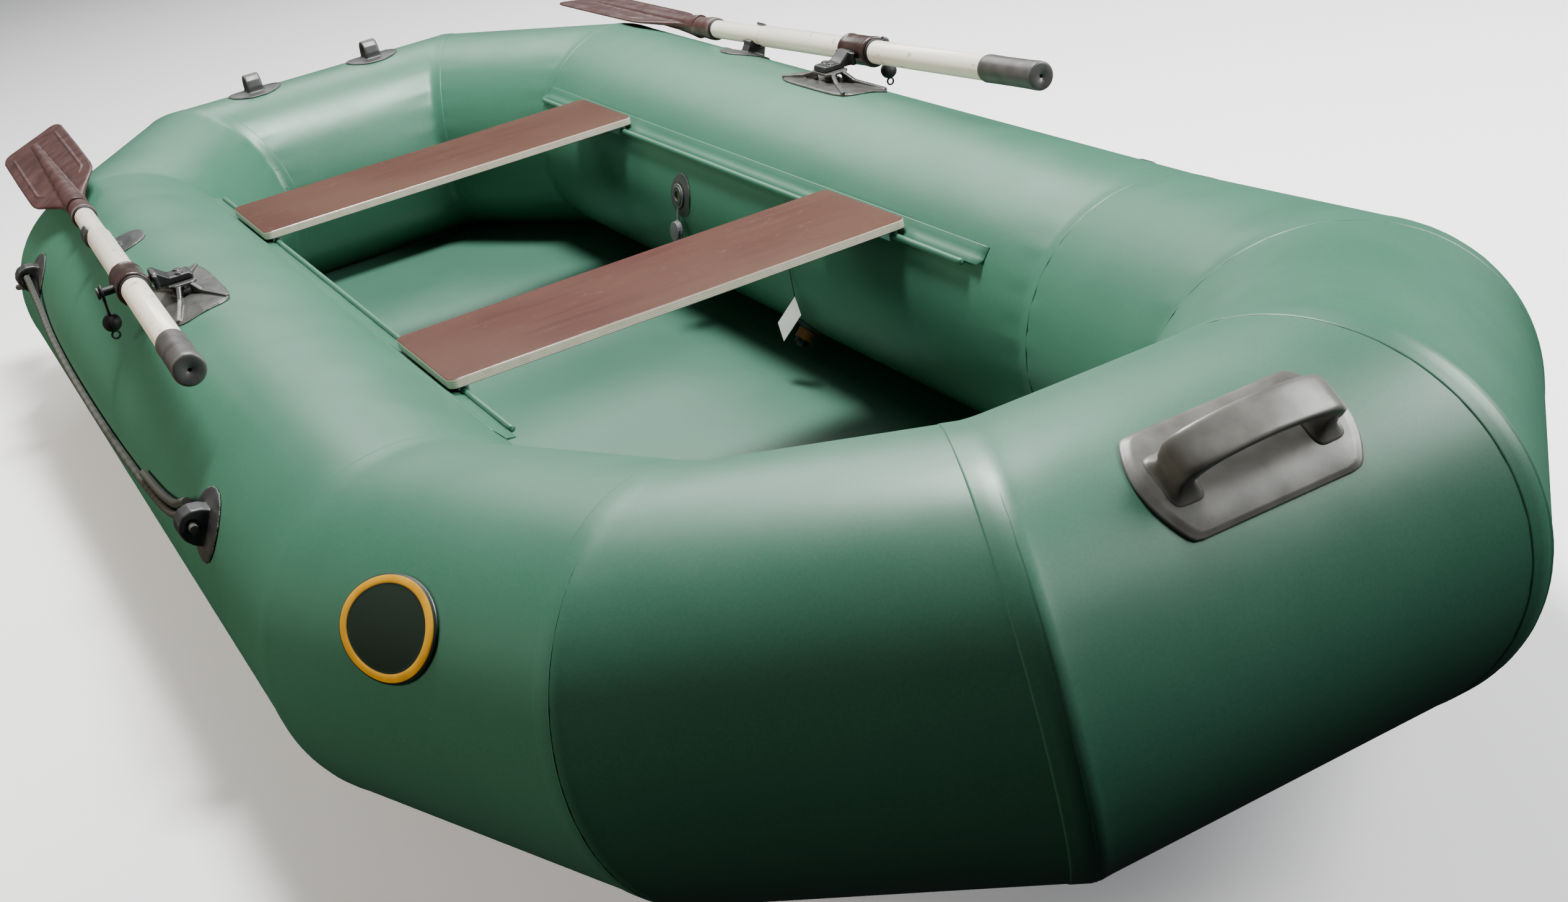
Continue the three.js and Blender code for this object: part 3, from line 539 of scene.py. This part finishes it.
def rail(side, mirror):
    """The bonded strip with its bead at the free edge."""
    def surface(elevation, lift):
        a = math.radians(elevation)
        return (SIDE_X - (R + lift) * math.cos(a), AXIS_Z + (R + lift) * math.sin(a))

    outline = [(HEM_X, HEM_UNDER_Z), *(surface(*p) for p in FLAP_UNDER)]
    outline += [*(surface(*p) for p in FLAP_OVER), (HEM_X, HEM_OVER_Z)]
    stations = [RAIL_FORE_Y + (RAIL_LENGTH * i) / RAIL_STEPS for i in range(RAIL_STEPS + 1)]
    verts = []
    for y in stations:
        ripple = 0.0002 * math.sin(41 * y) + 0.00015 * math.sin(97 * y)
        verts += [Vector((x, y, z + ripple * (x < RIPPLE_X))) for x, z in outline]
    faces = strip_faces(len(stations), len(outline), ends=True)
    piece(f"rail_flap_{side}", verts, faces, PVC, stands_for=[f"rail_strip_{side}"], mirror=mirror)
    eased = BEAD_R - 0.001
    profile = [(0.0, BEAD_FORE_Y), (eased, BEAD_FORE_Y), (BEAD_R, BEAD_FORE_Y + 0.001)]
    profile += [(BEAD_R + 0.00012 * math.sin(57 * y) * math.sin(23 * y), y)
                for y in [-0.49 + 0.02 * i for i in range(68)]]
    profile += [(BEAD_R, BEAD_AFT_Y - 0.001), (eased, BEAD_AFT_Y), (0.0, BEAD_AFT_Y)]
    verts, faces = turned(profile, 20)
    verts = [v + Vector((BEAD_X, 0, BEAD_Z)) for v in verts]
    piece(f"rail_cord_{side}", verts, faces, PVC, stands_for=[f"rail_bead_{side}"], mirror=mirror)


def board(name, y, body):
    """A plywood board with rounded corners and eased edges."""
    half_l, half_w, corner, ease = 0.304, 0.1035, 0.012, 0.0014
    low, top = 0.291, 0.303
    outline = []
    for cx, cy, start in ((1, 1, 0), (-1, 1, 90), (-1, -1, 180), (1, -1, 270)):
        for i in range(9):
            a = math.radians(start + i * 11.25)
            outline.append((cx * (half_l - corner), cy * (half_w - corner), math.cos(a), math.sin(a)))
    levels = [(low, ease), (low + 0.4 * ease, 0.4 * ease), (low + ease, 0), (top - ease, 0)]
    levels += [(top - 0.4 * ease, 0.4 * ease), (top, ease)]
    verts = []
    for z, inset in levels:
        for x0, y0, dx, dy in outline:
            reach = corner - inset
            verts.append(Vector((x0 + reach * dx, y + y0 + reach * dy, z)))
    piece(f"board_{name}", verts, strip_faces(len(levels), len(outline), ends=True), PLY,
          body=body, stands_for=[f"thwart_{name}"], sharp=True)


for side, mirror in (("port", False), ("starboard", True)):
    rail(side, mirror)
for place, y in THWART_Y.items():
    board(place, y, f"thwart_{place}_slider")


# ---- Oars ----

PALM_HINGE = Vector((0, 0.566, 0))  # where the blade's slight bend starts


def oar_place(verts, side, palm=False):
    """Moves an oar's points from its own axes, along Y, to where it is stowed."""
    turn, slope, roll, lift = (math.radians(a) for a in OAR_REST[side])
    place = Matrix.Translation(PIVOT) @ Matrix.Rotation(turn, 4, "Z")
    place = place @ Matrix.Translation(OAR - PIVOT) @ Matrix.Rotation(slope, 4, "X")
    if palm:
        bend = Matrix.Translation(PALM_HINGE) @ Matrix.Rotation(lift, 4, "X")
        bend = bend @ Matrix.Translation(-PALM_HINGE)
        place = place @ Matrix.Rotation(roll, 4, "Y") @ bend
    return [place @ v for v in verts]


def ramp(value, low, high):
    """A smooth step from 0 to 1."""
    t = max(0.0, min(1.0, (value - low) / (high - low)))
    return t * t * (3 - 2 * t)


# Along the blade: distance from the collar, width, and half the thickness at the edge
BLADE_KEYS = [(0.572, 0.033, 0.0130), (0.626, 0.038, 0.0075), (0.651, 0.050, 0.0048),
              (0.686, 0.078, 0.0034), (0.721, 0.106, 0.0027), (0.741, 0.113, 0.0024),
              (0.766, 0.1155, 0.0024), (0.901, 0.118, 0.0022), (1.087, 0.118, 0.0022),
              (1.105, 0.113, 0.0022), (1.115, 0.103, 0.0020), (1.1195, 0.090, 0.0017),
              (1.121, 0.078, 0.0013)]
BLADE_ROOT, BLADE_LENGTH = 0.572, 0.549


def blade_section(y):
    """The blade's width and edge thickness at a distance along it."""
    for a, b in zip(BLADE_KEYS, BLADE_KEYS[1:]):
        if y <= b[0]:
            t = (y - a[0]) / (b[0] - a[0])
            return [a[i] + (b[i] - a[i]) * t for i in (1, 2)]
    return BLADE_KEYS[-1][1:]


def blade_shape(side):
    """The palm: a tapering spine, two thin ribs with hooked roots, rounded corners and edges."""
    half, verts = 80, []
    stations = [BLADE_ROOT + 0.005 * i for i in range(107)]
    stations += [1.1065, 1.1095, 1.1125, 1.115, 1.117, 1.1185, 1.1197, 1.1205, 1.121]
    for y in stations:
        width, edge = blade_section(y)
        flat = ramp(y, 0.60, 0.70)
        grown = (y - BLADE_ROOT) / BLADE_LENGTH
        spine_w = 0.0165 - 0.0115 * grown
        spine_h = 0.0100 + 0.0015 * math.sin(math.pi * grown) - 0.0075 * grown
        spine_h *= 1 - ramp(y, 1.062, 1.082)
        ribs = 0.0019 * ramp(y, 0.742, 0.752) * (1 - ramp(y, 1.055, 1.07))
        hook = 0.0425 - 0.011 * math.exp(-(((y - 0.744) / 0.016) ** 2))
        rim = 0.0007 * ramp(y, 0.70, 0.76)
        for j in range(2 * half):
            top = j <= half
            share = 1 - 2 * j / half if top else 2 * (j - half) / half - 1
            x = share * width / 2
            round_off = (1 - share * share) ** 0.5 * (1 - flat)
            round_off += max(0.0, 1 - abs(share) ** 14) ** 0.5 * flat
            thick = edge * round_off
            thick += spine_h * max(0.0, 1 - (x / spine_w) ** 2) ** 0.5 * (1 - (1 - flat) * 0.3)
            thick += ribs * max(0.0, 1 - ((abs(x) - hook) / 0.0026) ** 2)
            thick += rim * math.exp(-(((width / 2 - 0.0022 - abs(x)) / 0.0016) ** 2)) * round_off
            verts.append(Vector((x, y, thick if top else -thick)))
    return oar_place(verts, side, palm=True), strip_faces(len(stations), 2 * half, ends=True)


# Turned parts of an oar, as radius and distance from the collar
GRIP_PROFILE = [(0.0012, -0.4640), (0.0018, -0.4664), (0.0021, -0.4682), (0.0030, -0.4694),
                (0.0150, -0.4700), (0.0168, -0.4697), (0.0182, -0.4688), (0.0188, -0.4672),
                (0.0189, -0.4600), (0.0185, -0.4400), (0.0184, -0.4000), (0.0185, -0.3700),
                (0.0188, -0.3520), (0.0188, -0.3475), (0.0184, -0.3455), (0.0174, -0.3450)]
UPPER_PROFILE = [(0.0165, -0.3450), (0.0170, -0.3440), (0.0170, 0.0), (0.0170, 0.320),
                 (0.0167, 0.3217), (0.0160, 0.322), (0.0152, 0.3216)]
LOWER_PROFILE = [(0.0149, 0.300), (0.0150, 0.320), (0.0150, 0.40), (0.0150, 0.51), (0.0148, 0.515)]
COLLAR_PROFILE = [(0.0171, -0.0385), (0.0203, -0.0389), (0.0218, -0.0380), (0.0225, -0.0362),
                  (0.0225, -0.0330), (0.0219, -0.0312), (0.0217, -0.0290), (0.0217, 0.0290),
                  (0.0219, 0.0312), (0.0225, 0.0330), (0.0225, 0.0362), (0.0218, 0.0380),
                  (0.0203, 0.0389), (0.0171, 0.0385)]
SLEEVE_PROFILE = [(0.0152, 0.5075), (0.0180, 0.5068), (0.0188, 0.5075), (0.0190, 0.5095),
                  (0.0190, 0.5240), (0.0187, 0.5275), (0.0180, 0.5320), (0.0174, 0.5450),
                  (0.0169, 0.5750), (0.0150, 0.5890), (0.0, 0.592)]
# Rubber rings on the shaft: name, distance from the collar, shaft radius, half the ring's width
RINGS = (("fore", -0.0412, 0.0172, 0.0022), ("aft", 0.0412, 0.0172, 0.0022),
         ("ferrule", 0.5040, 0.0152, 0.0026))


def oar(side, mirror):
    body = f"oar_{side}"

    def lathe(name, profile, material, nodes=(), sides=48):
        verts, faces = turned(profile, sides)
        piece(f"{name}_{side}", oar_place(verts, side), faces, material, body, nodes, mirror)

    lathe("grip", GRIP_PROFILE, GRIP, [f"oar_grip_{side}"])
    lathe("shaft_upper", UPPER_PROFILE, IVORY, [f"oar_upper_shaft_{side}"])
    lathe("shaft_lower", LOWER_PROFILE, IVORY, [f"oar_lower_shaft_{side}"])
    lathe("collar", COLLAR_PROFILE, COLLAR, [f"oar_collar_{side}"], 64)
    for name, y, radius, tube in RINGS:
        bends = [math.pi * i / 10 for i in range(11)]
        ring = [(radius + tube * math.sin(a), y - tube * math.cos(a)) for a in bends]
        lathe(f"ring_{name}", ring, CAP)
    verts, faces = blade_shape(side)
    piece(f"blade_{side}", verts, faces, BLADE, body, [f"oar_blade_{side}"], mirror)
    lathe("blade_sleeve", SLEEVE_PROFILE, BLADE)


oar("port", False)
oar("starboard", True)


# ---- Moulded fittings kept from the CAD, rounded over and given their finish ----

def soften(node, material, voxel, passes):
    """Rounds a moulded CAD node's edges and gives it its material."""
    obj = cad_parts[node]
    remesh = obj.modifiers.new("fillet", "REMESH")
    remesh.mode = "VOXEL"
    remesh.voxel_size = voxel
    remesh.use_smooth_shade = True
    relax = obj.modifiers.new("relax", "SMOOTH")
    relax.factor = 0.5
    relax.iterations = passes
    dress(node, material)


def dress(node, material, bevel=0.0):
    """Gives a CAD node its material, and eases its edges by the bevel."""
    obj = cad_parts[node]
    obj.data.materials.clear()
    obj.data.materials.append(material)
    if bevel:
        ease = obj.modifiers.new("ease", "BEVEL")
        ease.width = bevel
        ease.segments = 2
        ease.limit_method = "ANGLE"


for place in ("fore", "aft", "stern"):
    for side in ("port", "starboard"):
        soften(f"eyelet_{place}_{side}", RUBBER, 0.0014, 6)
for side in ("port", "starboard"):
    soften(f"rowlock_base_{side}", FOOT, 0.0010, 3)
    soften(f"rowlock_swivel_{side}", BLACK, 0.0009, 3)
    soften(f"oar_clip_{side}", RUBBER, 0.0012, 4)
    dress(f"tube_bulkhead_{side}", PVC)
    dress(f"channel_fore_{side}", ALLOY, 0.0004)
    dress(f"channel_aft_{side}", ALLOY, 0.0004)
soften("air_valve_body", RUBBER, 0.0010, 3)
soften("air_valve_cap", GREY, 0.0008, 3)
soften("air_valve_stem", BRASS, 0.0006, 2)
soften("floor_valve_body", RUBBER, 0.0010, 3)
soften("floor_valve_ring", ORANGE, 0.0006, 2)
soften("floor_valve_cap", BLACK, 0.0007, 2)


# ---- Carry handle ----

HANDLE_ELEVATION = 55
PATCH_U, PATCH_V, BOWED_U = 0.069, 0.049, 0.095  # half its straight edge, its depth and its length
PATCH_CORNER = [(0.0800, 0.0445), (0.0760, 0.0478), (PATCH_U, PATCH_V)]
# The patch from its rim to its middle, as shares of its outline and heights over the tube
PATCH_LEVELS = [(1.0, 0.0004), (1.0, 0.0014), (0.992, 0.0022), (0.975, 0.0026), (0.955, 0.0029),
                (0.93, 0.0038), (0.90, 0.0041), (0.6, 0.0042), (0.3, 0.0042), (0.05, 0.0042)]
# Half the grip, from a foot to the top: place along it, height, thickness and width
GRIP_PATH = [(0.0650, 0.0030, 0.034, 0.052), (0.0650, 0.0050, 0.027, 0.044),
             (0.0652, 0.0080, 0.021, 0.036), (0.0656, 0.0120, 0.018, 0.031),
             (0.0664, 0.0165, 0.017, 0.030), (0.0674, 0.0205, 0.0165, 0.032),
             (0.0668, 0.0260, 0.0155, 0.0345), (0.0625, 0.0312, 0.0130, 0.0350),
             (0.0550, 0.0350, 0.0110, 0.0350), (0.0460, 0.0378, 0.0096, 0.0350),
             (0.0350, 0.0400, 0.0088, 0.0350), (0.0230, 0.0415, 0.0085, 0.0350),
             (0.0110, 0.0423, 0.0085, 0.0350)]
GRIP_TOP = (0.0, 0.0425, 0.0085, 0.035)


def rounded_ring(count, squareness):
    """Unit ring between a circle and a square, as (cosine, sine) pairs."""
    ring = []
    for j in range(count):
        a = 2 * math.pi * j / count
        c, t = math.cos(a), math.sin(a)
        ring.append((math.copysign(abs(c) ** squareness, c), math.copysign(abs(t) ** squareness, t)))
    return ring


def patch_outline():
    """Bowed at both ends, straight along both edges, with rounded corners."""
    end = [(BOWED_U - 0.018 * (v / PATCH_V) ** 2, v) for v in [-0.039 + 0.0065 * i for i in range(13)]]
    edge = [(PATCH_U - 2 * PATCH_U * i / 16, PATCH_V) for i in range(1, 16)]
    outline = end + PATCH_CORNER + edge
    outline += [(-u, v) for u, v in reversed(end + PATCH_CORNER)]
    outline += [(-u, -v) for u, v in PATCH_CORNER + edge]
    return outline + [(u, -v) for u, v in reversed(PATCH_CORNER)]


def handle():
    """A moulded patch with bowed ends, and an arched grip on two flared feet."""
    place = on_panel(0, BOW_X, HANDLE_ELEVATION)
    outline = patch_outline()
    verts = []
    for share, h in PATCH_LEVELS:
        for u, v in outline:
            u, v, reach = u * share, v * share, R + h
            verts.append(place @ Vector((u, reach * math.sin(v / R), reach * math.cos(v / R) - R)))
    faces = strip_faces(len(PATCH_LEVELS), len(outline), ends=True)

    path = [(-u, h, thick, width) for u, h, thick, width in GRIP_PATH]
    path += [GRIP_TOP, *reversed(GRIP_PATH)]
    ring = rounded_ring(40, 0.45)
    base = len(verts)
    for i, (u, h, thick, width) in enumerate(path):
        before, after = path[max(0, i - 1)], path[min(len(path) - 1, i + 1)]
        run, rise = after[0] - before[0], after[1] - before[1]
        size = math.hypot(run, rise)
        run, rise = run / size, rise / size
        drop = max(0.0, 1 - (h - 0.003) / 0.02)
        for c, t in ring:
            v = width / 2 * t
            sag = (R * math.cos(v / R) - R) * drop
            place_u, place_h = u - rise * thick / 2 * c, h + run * thick / 2 * c + sag
            verts.append(place @ Vector((place_u, v, place_h)))
    faces += [tuple(base + i for i in face) for face in strip_faces(len(path), len(ring), ends=True)]
    piece("handle_grip", verts, faces, HANDLE, stands_for=["carry_handle"])


handle()


# ---- Retaining balls on the rowlock pins ----

BALL_RADIUS, FLUTES, FLUTE_DEPTH = 0.012, 16, 0.0004
BALL_DROP, PULL_DROP = 0.041, 0.0165  # the ball below the pin, and the pull ring below the ball
LOOP_RADIUS, LOOP_TUBE = 0.0086, 0.0019
PULL_RADIUS, PULL_TUBE = 0.0050, 0.0014
# The tether below the pin: height, half its thickness and half its width
TETHER = ((-0.0095, 0.0022, 0.0050), (-0.013, 0.0018, 0.0036), (-0.018, 0.0016, 0.0030),
          (-0.024, 0.0016, 0.0032), (-0.028, 0.0020, 0.0046), (-0.031, 0.0026, 0.0064))


def torus(centre, radius, tube, axis):
    """A ring whose axis is the named coordinate."""
    sides, ring = 32, 12
    verts = []
    for i in range(sides):
        a = 2 * math.pi * i / sides
        for j in range(ring):
            b = 2 * math.pi * j / ring
            r = radius + tube * math.cos(b)
            point = {"x": (tube * math.sin(b), r * math.cos(a), r * math.sin(a)),
                     "y": (r * math.cos(a), tube * math.sin(b), r * math.sin(a))}[axis]
            verts.append(centre + Vector(point))
    faces = []
    for i in range(sides):
        for j in range(ring):
            here, there, k = i * ring, (i + 1) % sides * ring, (j + 1) % ring
            faces.append((here + j, here + k, there + k, there + j))
    return verts, faces


def fluted_ball(centre):
    """A ball with shallow flutes from top to bottom."""
    count, levels = 64, 24
    verts = []
    for i in range(1, levels):
        polar = math.pi * i / levels
        for j in range(count):
            a = 2 * math.pi * j / count
            flute = (0.5 + 0.5 * math.cos(FLUTES * a)) ** 2
            r = BALL_RADIUS - FLUTE_DEPTH * math.sin(polar) * flute
            across = r * math.sin(polar)
            verts.append(centre + Vector((across * math.cos(a), across * math.sin(a),
                                          r * math.cos(polar))))
    return verts, strip_faces(levels - 1, count, ends=True)


def retaining_ball(side, mirror):
    """A fluted rubber ball on a tether that loops over the pin, with a pull ring below."""
    ball = PIN - Vector((0, 0, BALL_DROP))
    pull = torus(ball - Vector((0, 0, PULL_DROP)), PULL_RADIUS, PULL_TUBE, "y")
    loop, loop_faces = torus(PIN, LOOP_RADIUS, LOOP_TUBE, "x")
    tether = []
    for z, thick, width in TETHER:
        tether += [PIN + Vector((thick * c, width * t, z)) for c, t in rounded_ring(16, 0.7)]
    parts = [pull, fluted_ball(ball), (tether, strip_faces(len(TETHER), 16, ends=True))]
    verts, faces = [], []
    for part_verts, part_faces in parts:
        faces += [tuple(len(verts) + i for i in face) for face in part_faces]
        verts += part_verts
    turn = Matrix.Translation(PIVOT) @ Matrix.Rotation(math.radians(OAR_REST[side][0]), 4, "Z")
    turn = turn @ Matrix.Translation(-PIVOT)
    body, node = f"pin_cap_{side}", f"rowlock_cap_{side}"
    piece(f"pin_loop_{side}", [turn @ v for v in loop], loop_faces, CAP, body, [node], mirror)
    obj = piece(f"retaining_ball_{side}", [turn @ v for v in verts], faces, CAP, body, [node], mirror)
    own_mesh(obj)


retaining_ball("port", False)
retaining_ball("starboard", True)


# ---- Badge ----

BADGE_ALONG, BADGE_ELEVATION = 0.231, 33
BADGE_U, BADGE_V = 0.0875, 0.0475  # half its length and height
# From the middle to the rim: share of the badge's size, and height over the tube
BADGE_STEPS = [(0.06, 0.0036), (0.2, 0.0036), (0.4, 0.0035), (0.6, 0.0034), (0.74, 0.0033),
               (0.80, 0.0032), (0.815, 0.0037), (0.83, 0.0040), (0.88, 0.0042), (0.93, 0.0041),
               (0.955, 0.0037), (0.965, 0.0030), (0.99, 0.0027), (1.0, 0.0018), (1.0, 0.0005)]


def badge():
    """A domed oval badge: a raised gold ring round a plain dark face."""
    sides, verts = 96, []
    place = on_panel(BADGE_CHEEK, BADGE_ALONG, BADGE_ELEVATION)
    for share, height in BADGE_STEPS:
        for j in range(sides):
            a = 2 * math.pi * j / sides
            u, v = share * BADGE_U * math.cos(a), share * BADGE_V * math.sin(a)
            r = R + height
            verts.append(place @ Vector((u, r * math.sin(v / R), r * math.cos(v / R) - R)))
    n = Nodes("badge_face")
    local = n.add("ShaderNodeMapping", vector_type="POINT")
    back = place.inverted()
    local.inputs["Location"].default_value = back.translation
    local.inputs["Rotation"].default_value = back.to_euler()
    n.join(n.place, local.inputs["Vector"])
    squash = n.add("ShaderNodeMapping")
    squash.inputs["Scale"].default_value = (1 / BADGE_U, 1 / BADGE_V, 0)
    n.join(local.outputs["Vector"], squash.inputs["Vector"])
    length = n.add("ShaderNodeVectorMath", operation="LENGTH")
    n.join(squash.outputs["Vector"], length.inputs[0])
    share = length.outputs["Value"]
    ring = n.maths("MULTIPLY", n.span(share, 0.805, 0.82), n.span(share, 0.955, 0.965, 1.0, 0.0))
    speck = n.noise(160, 3)
    face = n.mix(speck, (0.008, 0.018, 0.011), (0.012, 0.025, 0.016))
    gold = n.mix(n.span(n.noise(40, 3), 0.3, 0.7), (0.66, 0.35, 0.006), (0.50, 0.25, 0.004))
    shade = n.mix(ring, face, gold)
    material = n.finish(shade, 0.42, n.bump(n.noise(300, 2), 0.0001, 0.3))
    faces = strip_faces(len(BADGE_STEPS), sides, ends=True)
    piece("badge_disc", verts, faces, material, stands_for=["badge"])


badge()


# ---- Ropes, thread and tag ----

def around_side(y, elevation, radius):
    a = math.radians(elevation)
    return Vector((SIDE_X + radius * math.cos(a), y, AXIS_Z + radius * math.sin(a)))


# The ropes' routes: Y, elevation in degrees, and distance from the side tube's axis
LAY = R + ROPE_R + 0.0007  # where a rope lies on the tube
LUG = R + 0.018  # where it goes through an eyelet
LIFELINE = [
    (-0.430, 28, LUG), (-0.405, 28, LUG), (-0.378, 28, LUG), (-0.335, 24, 0.191),
    (-0.285, 19, LAY + 0.0006), (-0.220, 15.5, LAY), (-0.100, 12.5, LAY), (0.100, 9.5, LAY),
    (0.300, 8.5, LAY), (0.500, 10, LAY), (0.640, 14, LAY), (0.715, 19, LAY + 0.001),
    (0.765, 24, 0.192), (0.795, 28, LUG), (0.813, 28, LUG), (0.832, 28, LUG),
    (0.862, 24, 0.192), (0.905, 18, LAY + 0.001), (0.978, 12, LAY),
]
TAIL = [(-0.378, 32.2, 0.199), (-0.335, 28.2, 0.192), (-0.285, 23, LAY + 0.0006),
        (-0.220, 19.4, LAY), (-0.100, 16.2, LAY)]
# The tag's thread: X and Z at THREAD_Y
THREAD_Y, THREAD_R = -0.057, 0.0006
THREAD = [(0.282, 0.2773), (0.2775, 0.257), (0.273, 0.238), (0.2695, 0.216), (0.2676, 0.195),
          (0.2673, 0.175), (0.2673, 0.1416)]


def cord_piece(name, points, radius, node):
    """A rope or thread along a smooth curve through the points."""
    path = smooth_curve(points)
    curve = bpy.data.curves.new(name, "CURVE")
    curve.dimensions = "3D"
    curve.bevel_depth = radius
    curve.bevel_resolution = 5
    curve.use_fill_caps = True
    spline = curve.splines.new("POLY")
    spline.points.add(len(path) - 1)
    for place, point in zip(spline.points, path):
        place.co = (*point, 1)
    spline.use_smooth = True
    curve.materials.append(ROPE)
    obj = link(name, curve)
    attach(obj, "hull")
    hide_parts(node)


for side, sign in (("port", 1), ("starboard", -1)):
    points = [around_side(*p) for p in LIFELINE]
    points = [Vector((sign * p.x, p.y, p.z)) for p in points]
    cord_piece(f"rope_{side}", points, ROPE_R, f"lifeline_{side}")
points = [around_side(*p) for p in TAIL]
points = [Vector((-p.x, p.y, p.z)) for p in points]
cord_piece("rope_tail", points, ROPE_R, "lifeline_tail_starboard")
dress("tag", CARD)
points = [Vector((x, THREAD_Y, z)) for x, z in THREAD]
cord_piece("thread", points, THREAD_R, "tag_thread")


# ---- Stage and light ----

GROUND_Z, GROUND_X, GROUND_FORE_Y, GROUND_AFT_Y = -0.0018, 30, -20, 40


def stage():
    """A pale ground that takes shadows but throws no light up at the boat."""
    corners = [(-GROUND_X, GROUND_FORE_Y, GROUND_Z), (GROUND_X, GROUND_FORE_Y, GROUND_Z),
               (GROUND_X, GROUND_AFT_Y, GROUND_Z), (-GROUND_X, GROUND_AFT_Y, GROUND_Z)]
    mesh = bpy.data.meshes.new("ground")
    mesh.from_pydata(corners, [], [(0, 1, 2, 3)])
    n = Nodes("ground")
    shade = n.mix(n.noise(0.8, 3), (0.93, 0.93, 0.93), (0.90, 0.90, 0.90))
    n.finish(shade, 0.9, n.bump(n.noise(60, 3), 0.0002, 0.1),
             Emission_Color=(0.93, 0.95, 1.0, 1), Emission_Strength=0.22)
    n.material.cycles.emission_sampling = "NONE"
    mesh.materials.append(n.material)
    ground = link("ground", mesh)
    ground.visible_diffuse = False
    ground.visible_glossy = False


def area(name, place, target, size, energy, color=(1, 1, 1)):
    """A soft light from place towards target."""
    light = bpy.data.lights.new(name, "AREA")
    light.shape = "RECTANGLE"
    light.size, light.size_y = size
    light.energy = energy
    light.color = color
    obj = link(name, light)
    obj.location = place
    obj.rotation_euler = (Vector(target) - Vector(place)).to_track_quat("-Z", "Y").to_euler()
    return obj


def sky():
    """A dim sky that fades out below the horizon."""
    world = bpy.data.worlds.new("studio")
    world.use_nodes = True
    tree = world.node_tree
    background = tree.nodes["Background"]
    height = tree.nodes.new("ShaderNodeSeparateXYZ")
    place = tree.nodes.new("ShaderNodeTexCoord")
    tree.links.new(place.outputs["Generated"], height.inputs["Vector"])
    fade = tree.nodes.new("ShaderNodeMapRange")
    tree.links.new(height.outputs["Z"], fade.inputs["Value"])
    limits = {"From Min": -0.3, "From Max": 0.0, "To Min": 0.02, "To Max": 0.09}
    for key, number in limits.items():
        fade.inputs[key].default_value = number
    tree.links.new(fade.outputs["Result"], background.inputs["Strength"])
    background.inputs["Color"].default_value = (0.92, 0.95, 1.0, 1)
    bpy.context.scene.world = world


stage()
area("key", (0.55, 0.55, 3.5), (0.1, -0.1, 0.2), (1.0, 0.8), 310)
area("back", (1.0, 4.2, 3.4), (0.2, 0.3, 0.2), (3.2, 1.2), 115)
area("front", (3.0, -2.1, 2.3), (0.3, -0.9, 0.2), (2.4, 1.8), 270)
side_light = area("side", (-3.3, 0.9, 1.0), (-0.4, 0.2, 0.2), (2.4, 0.9), 125, (1.0, 0.84, 0.68))
side_light.visible_glossy = False
sky()
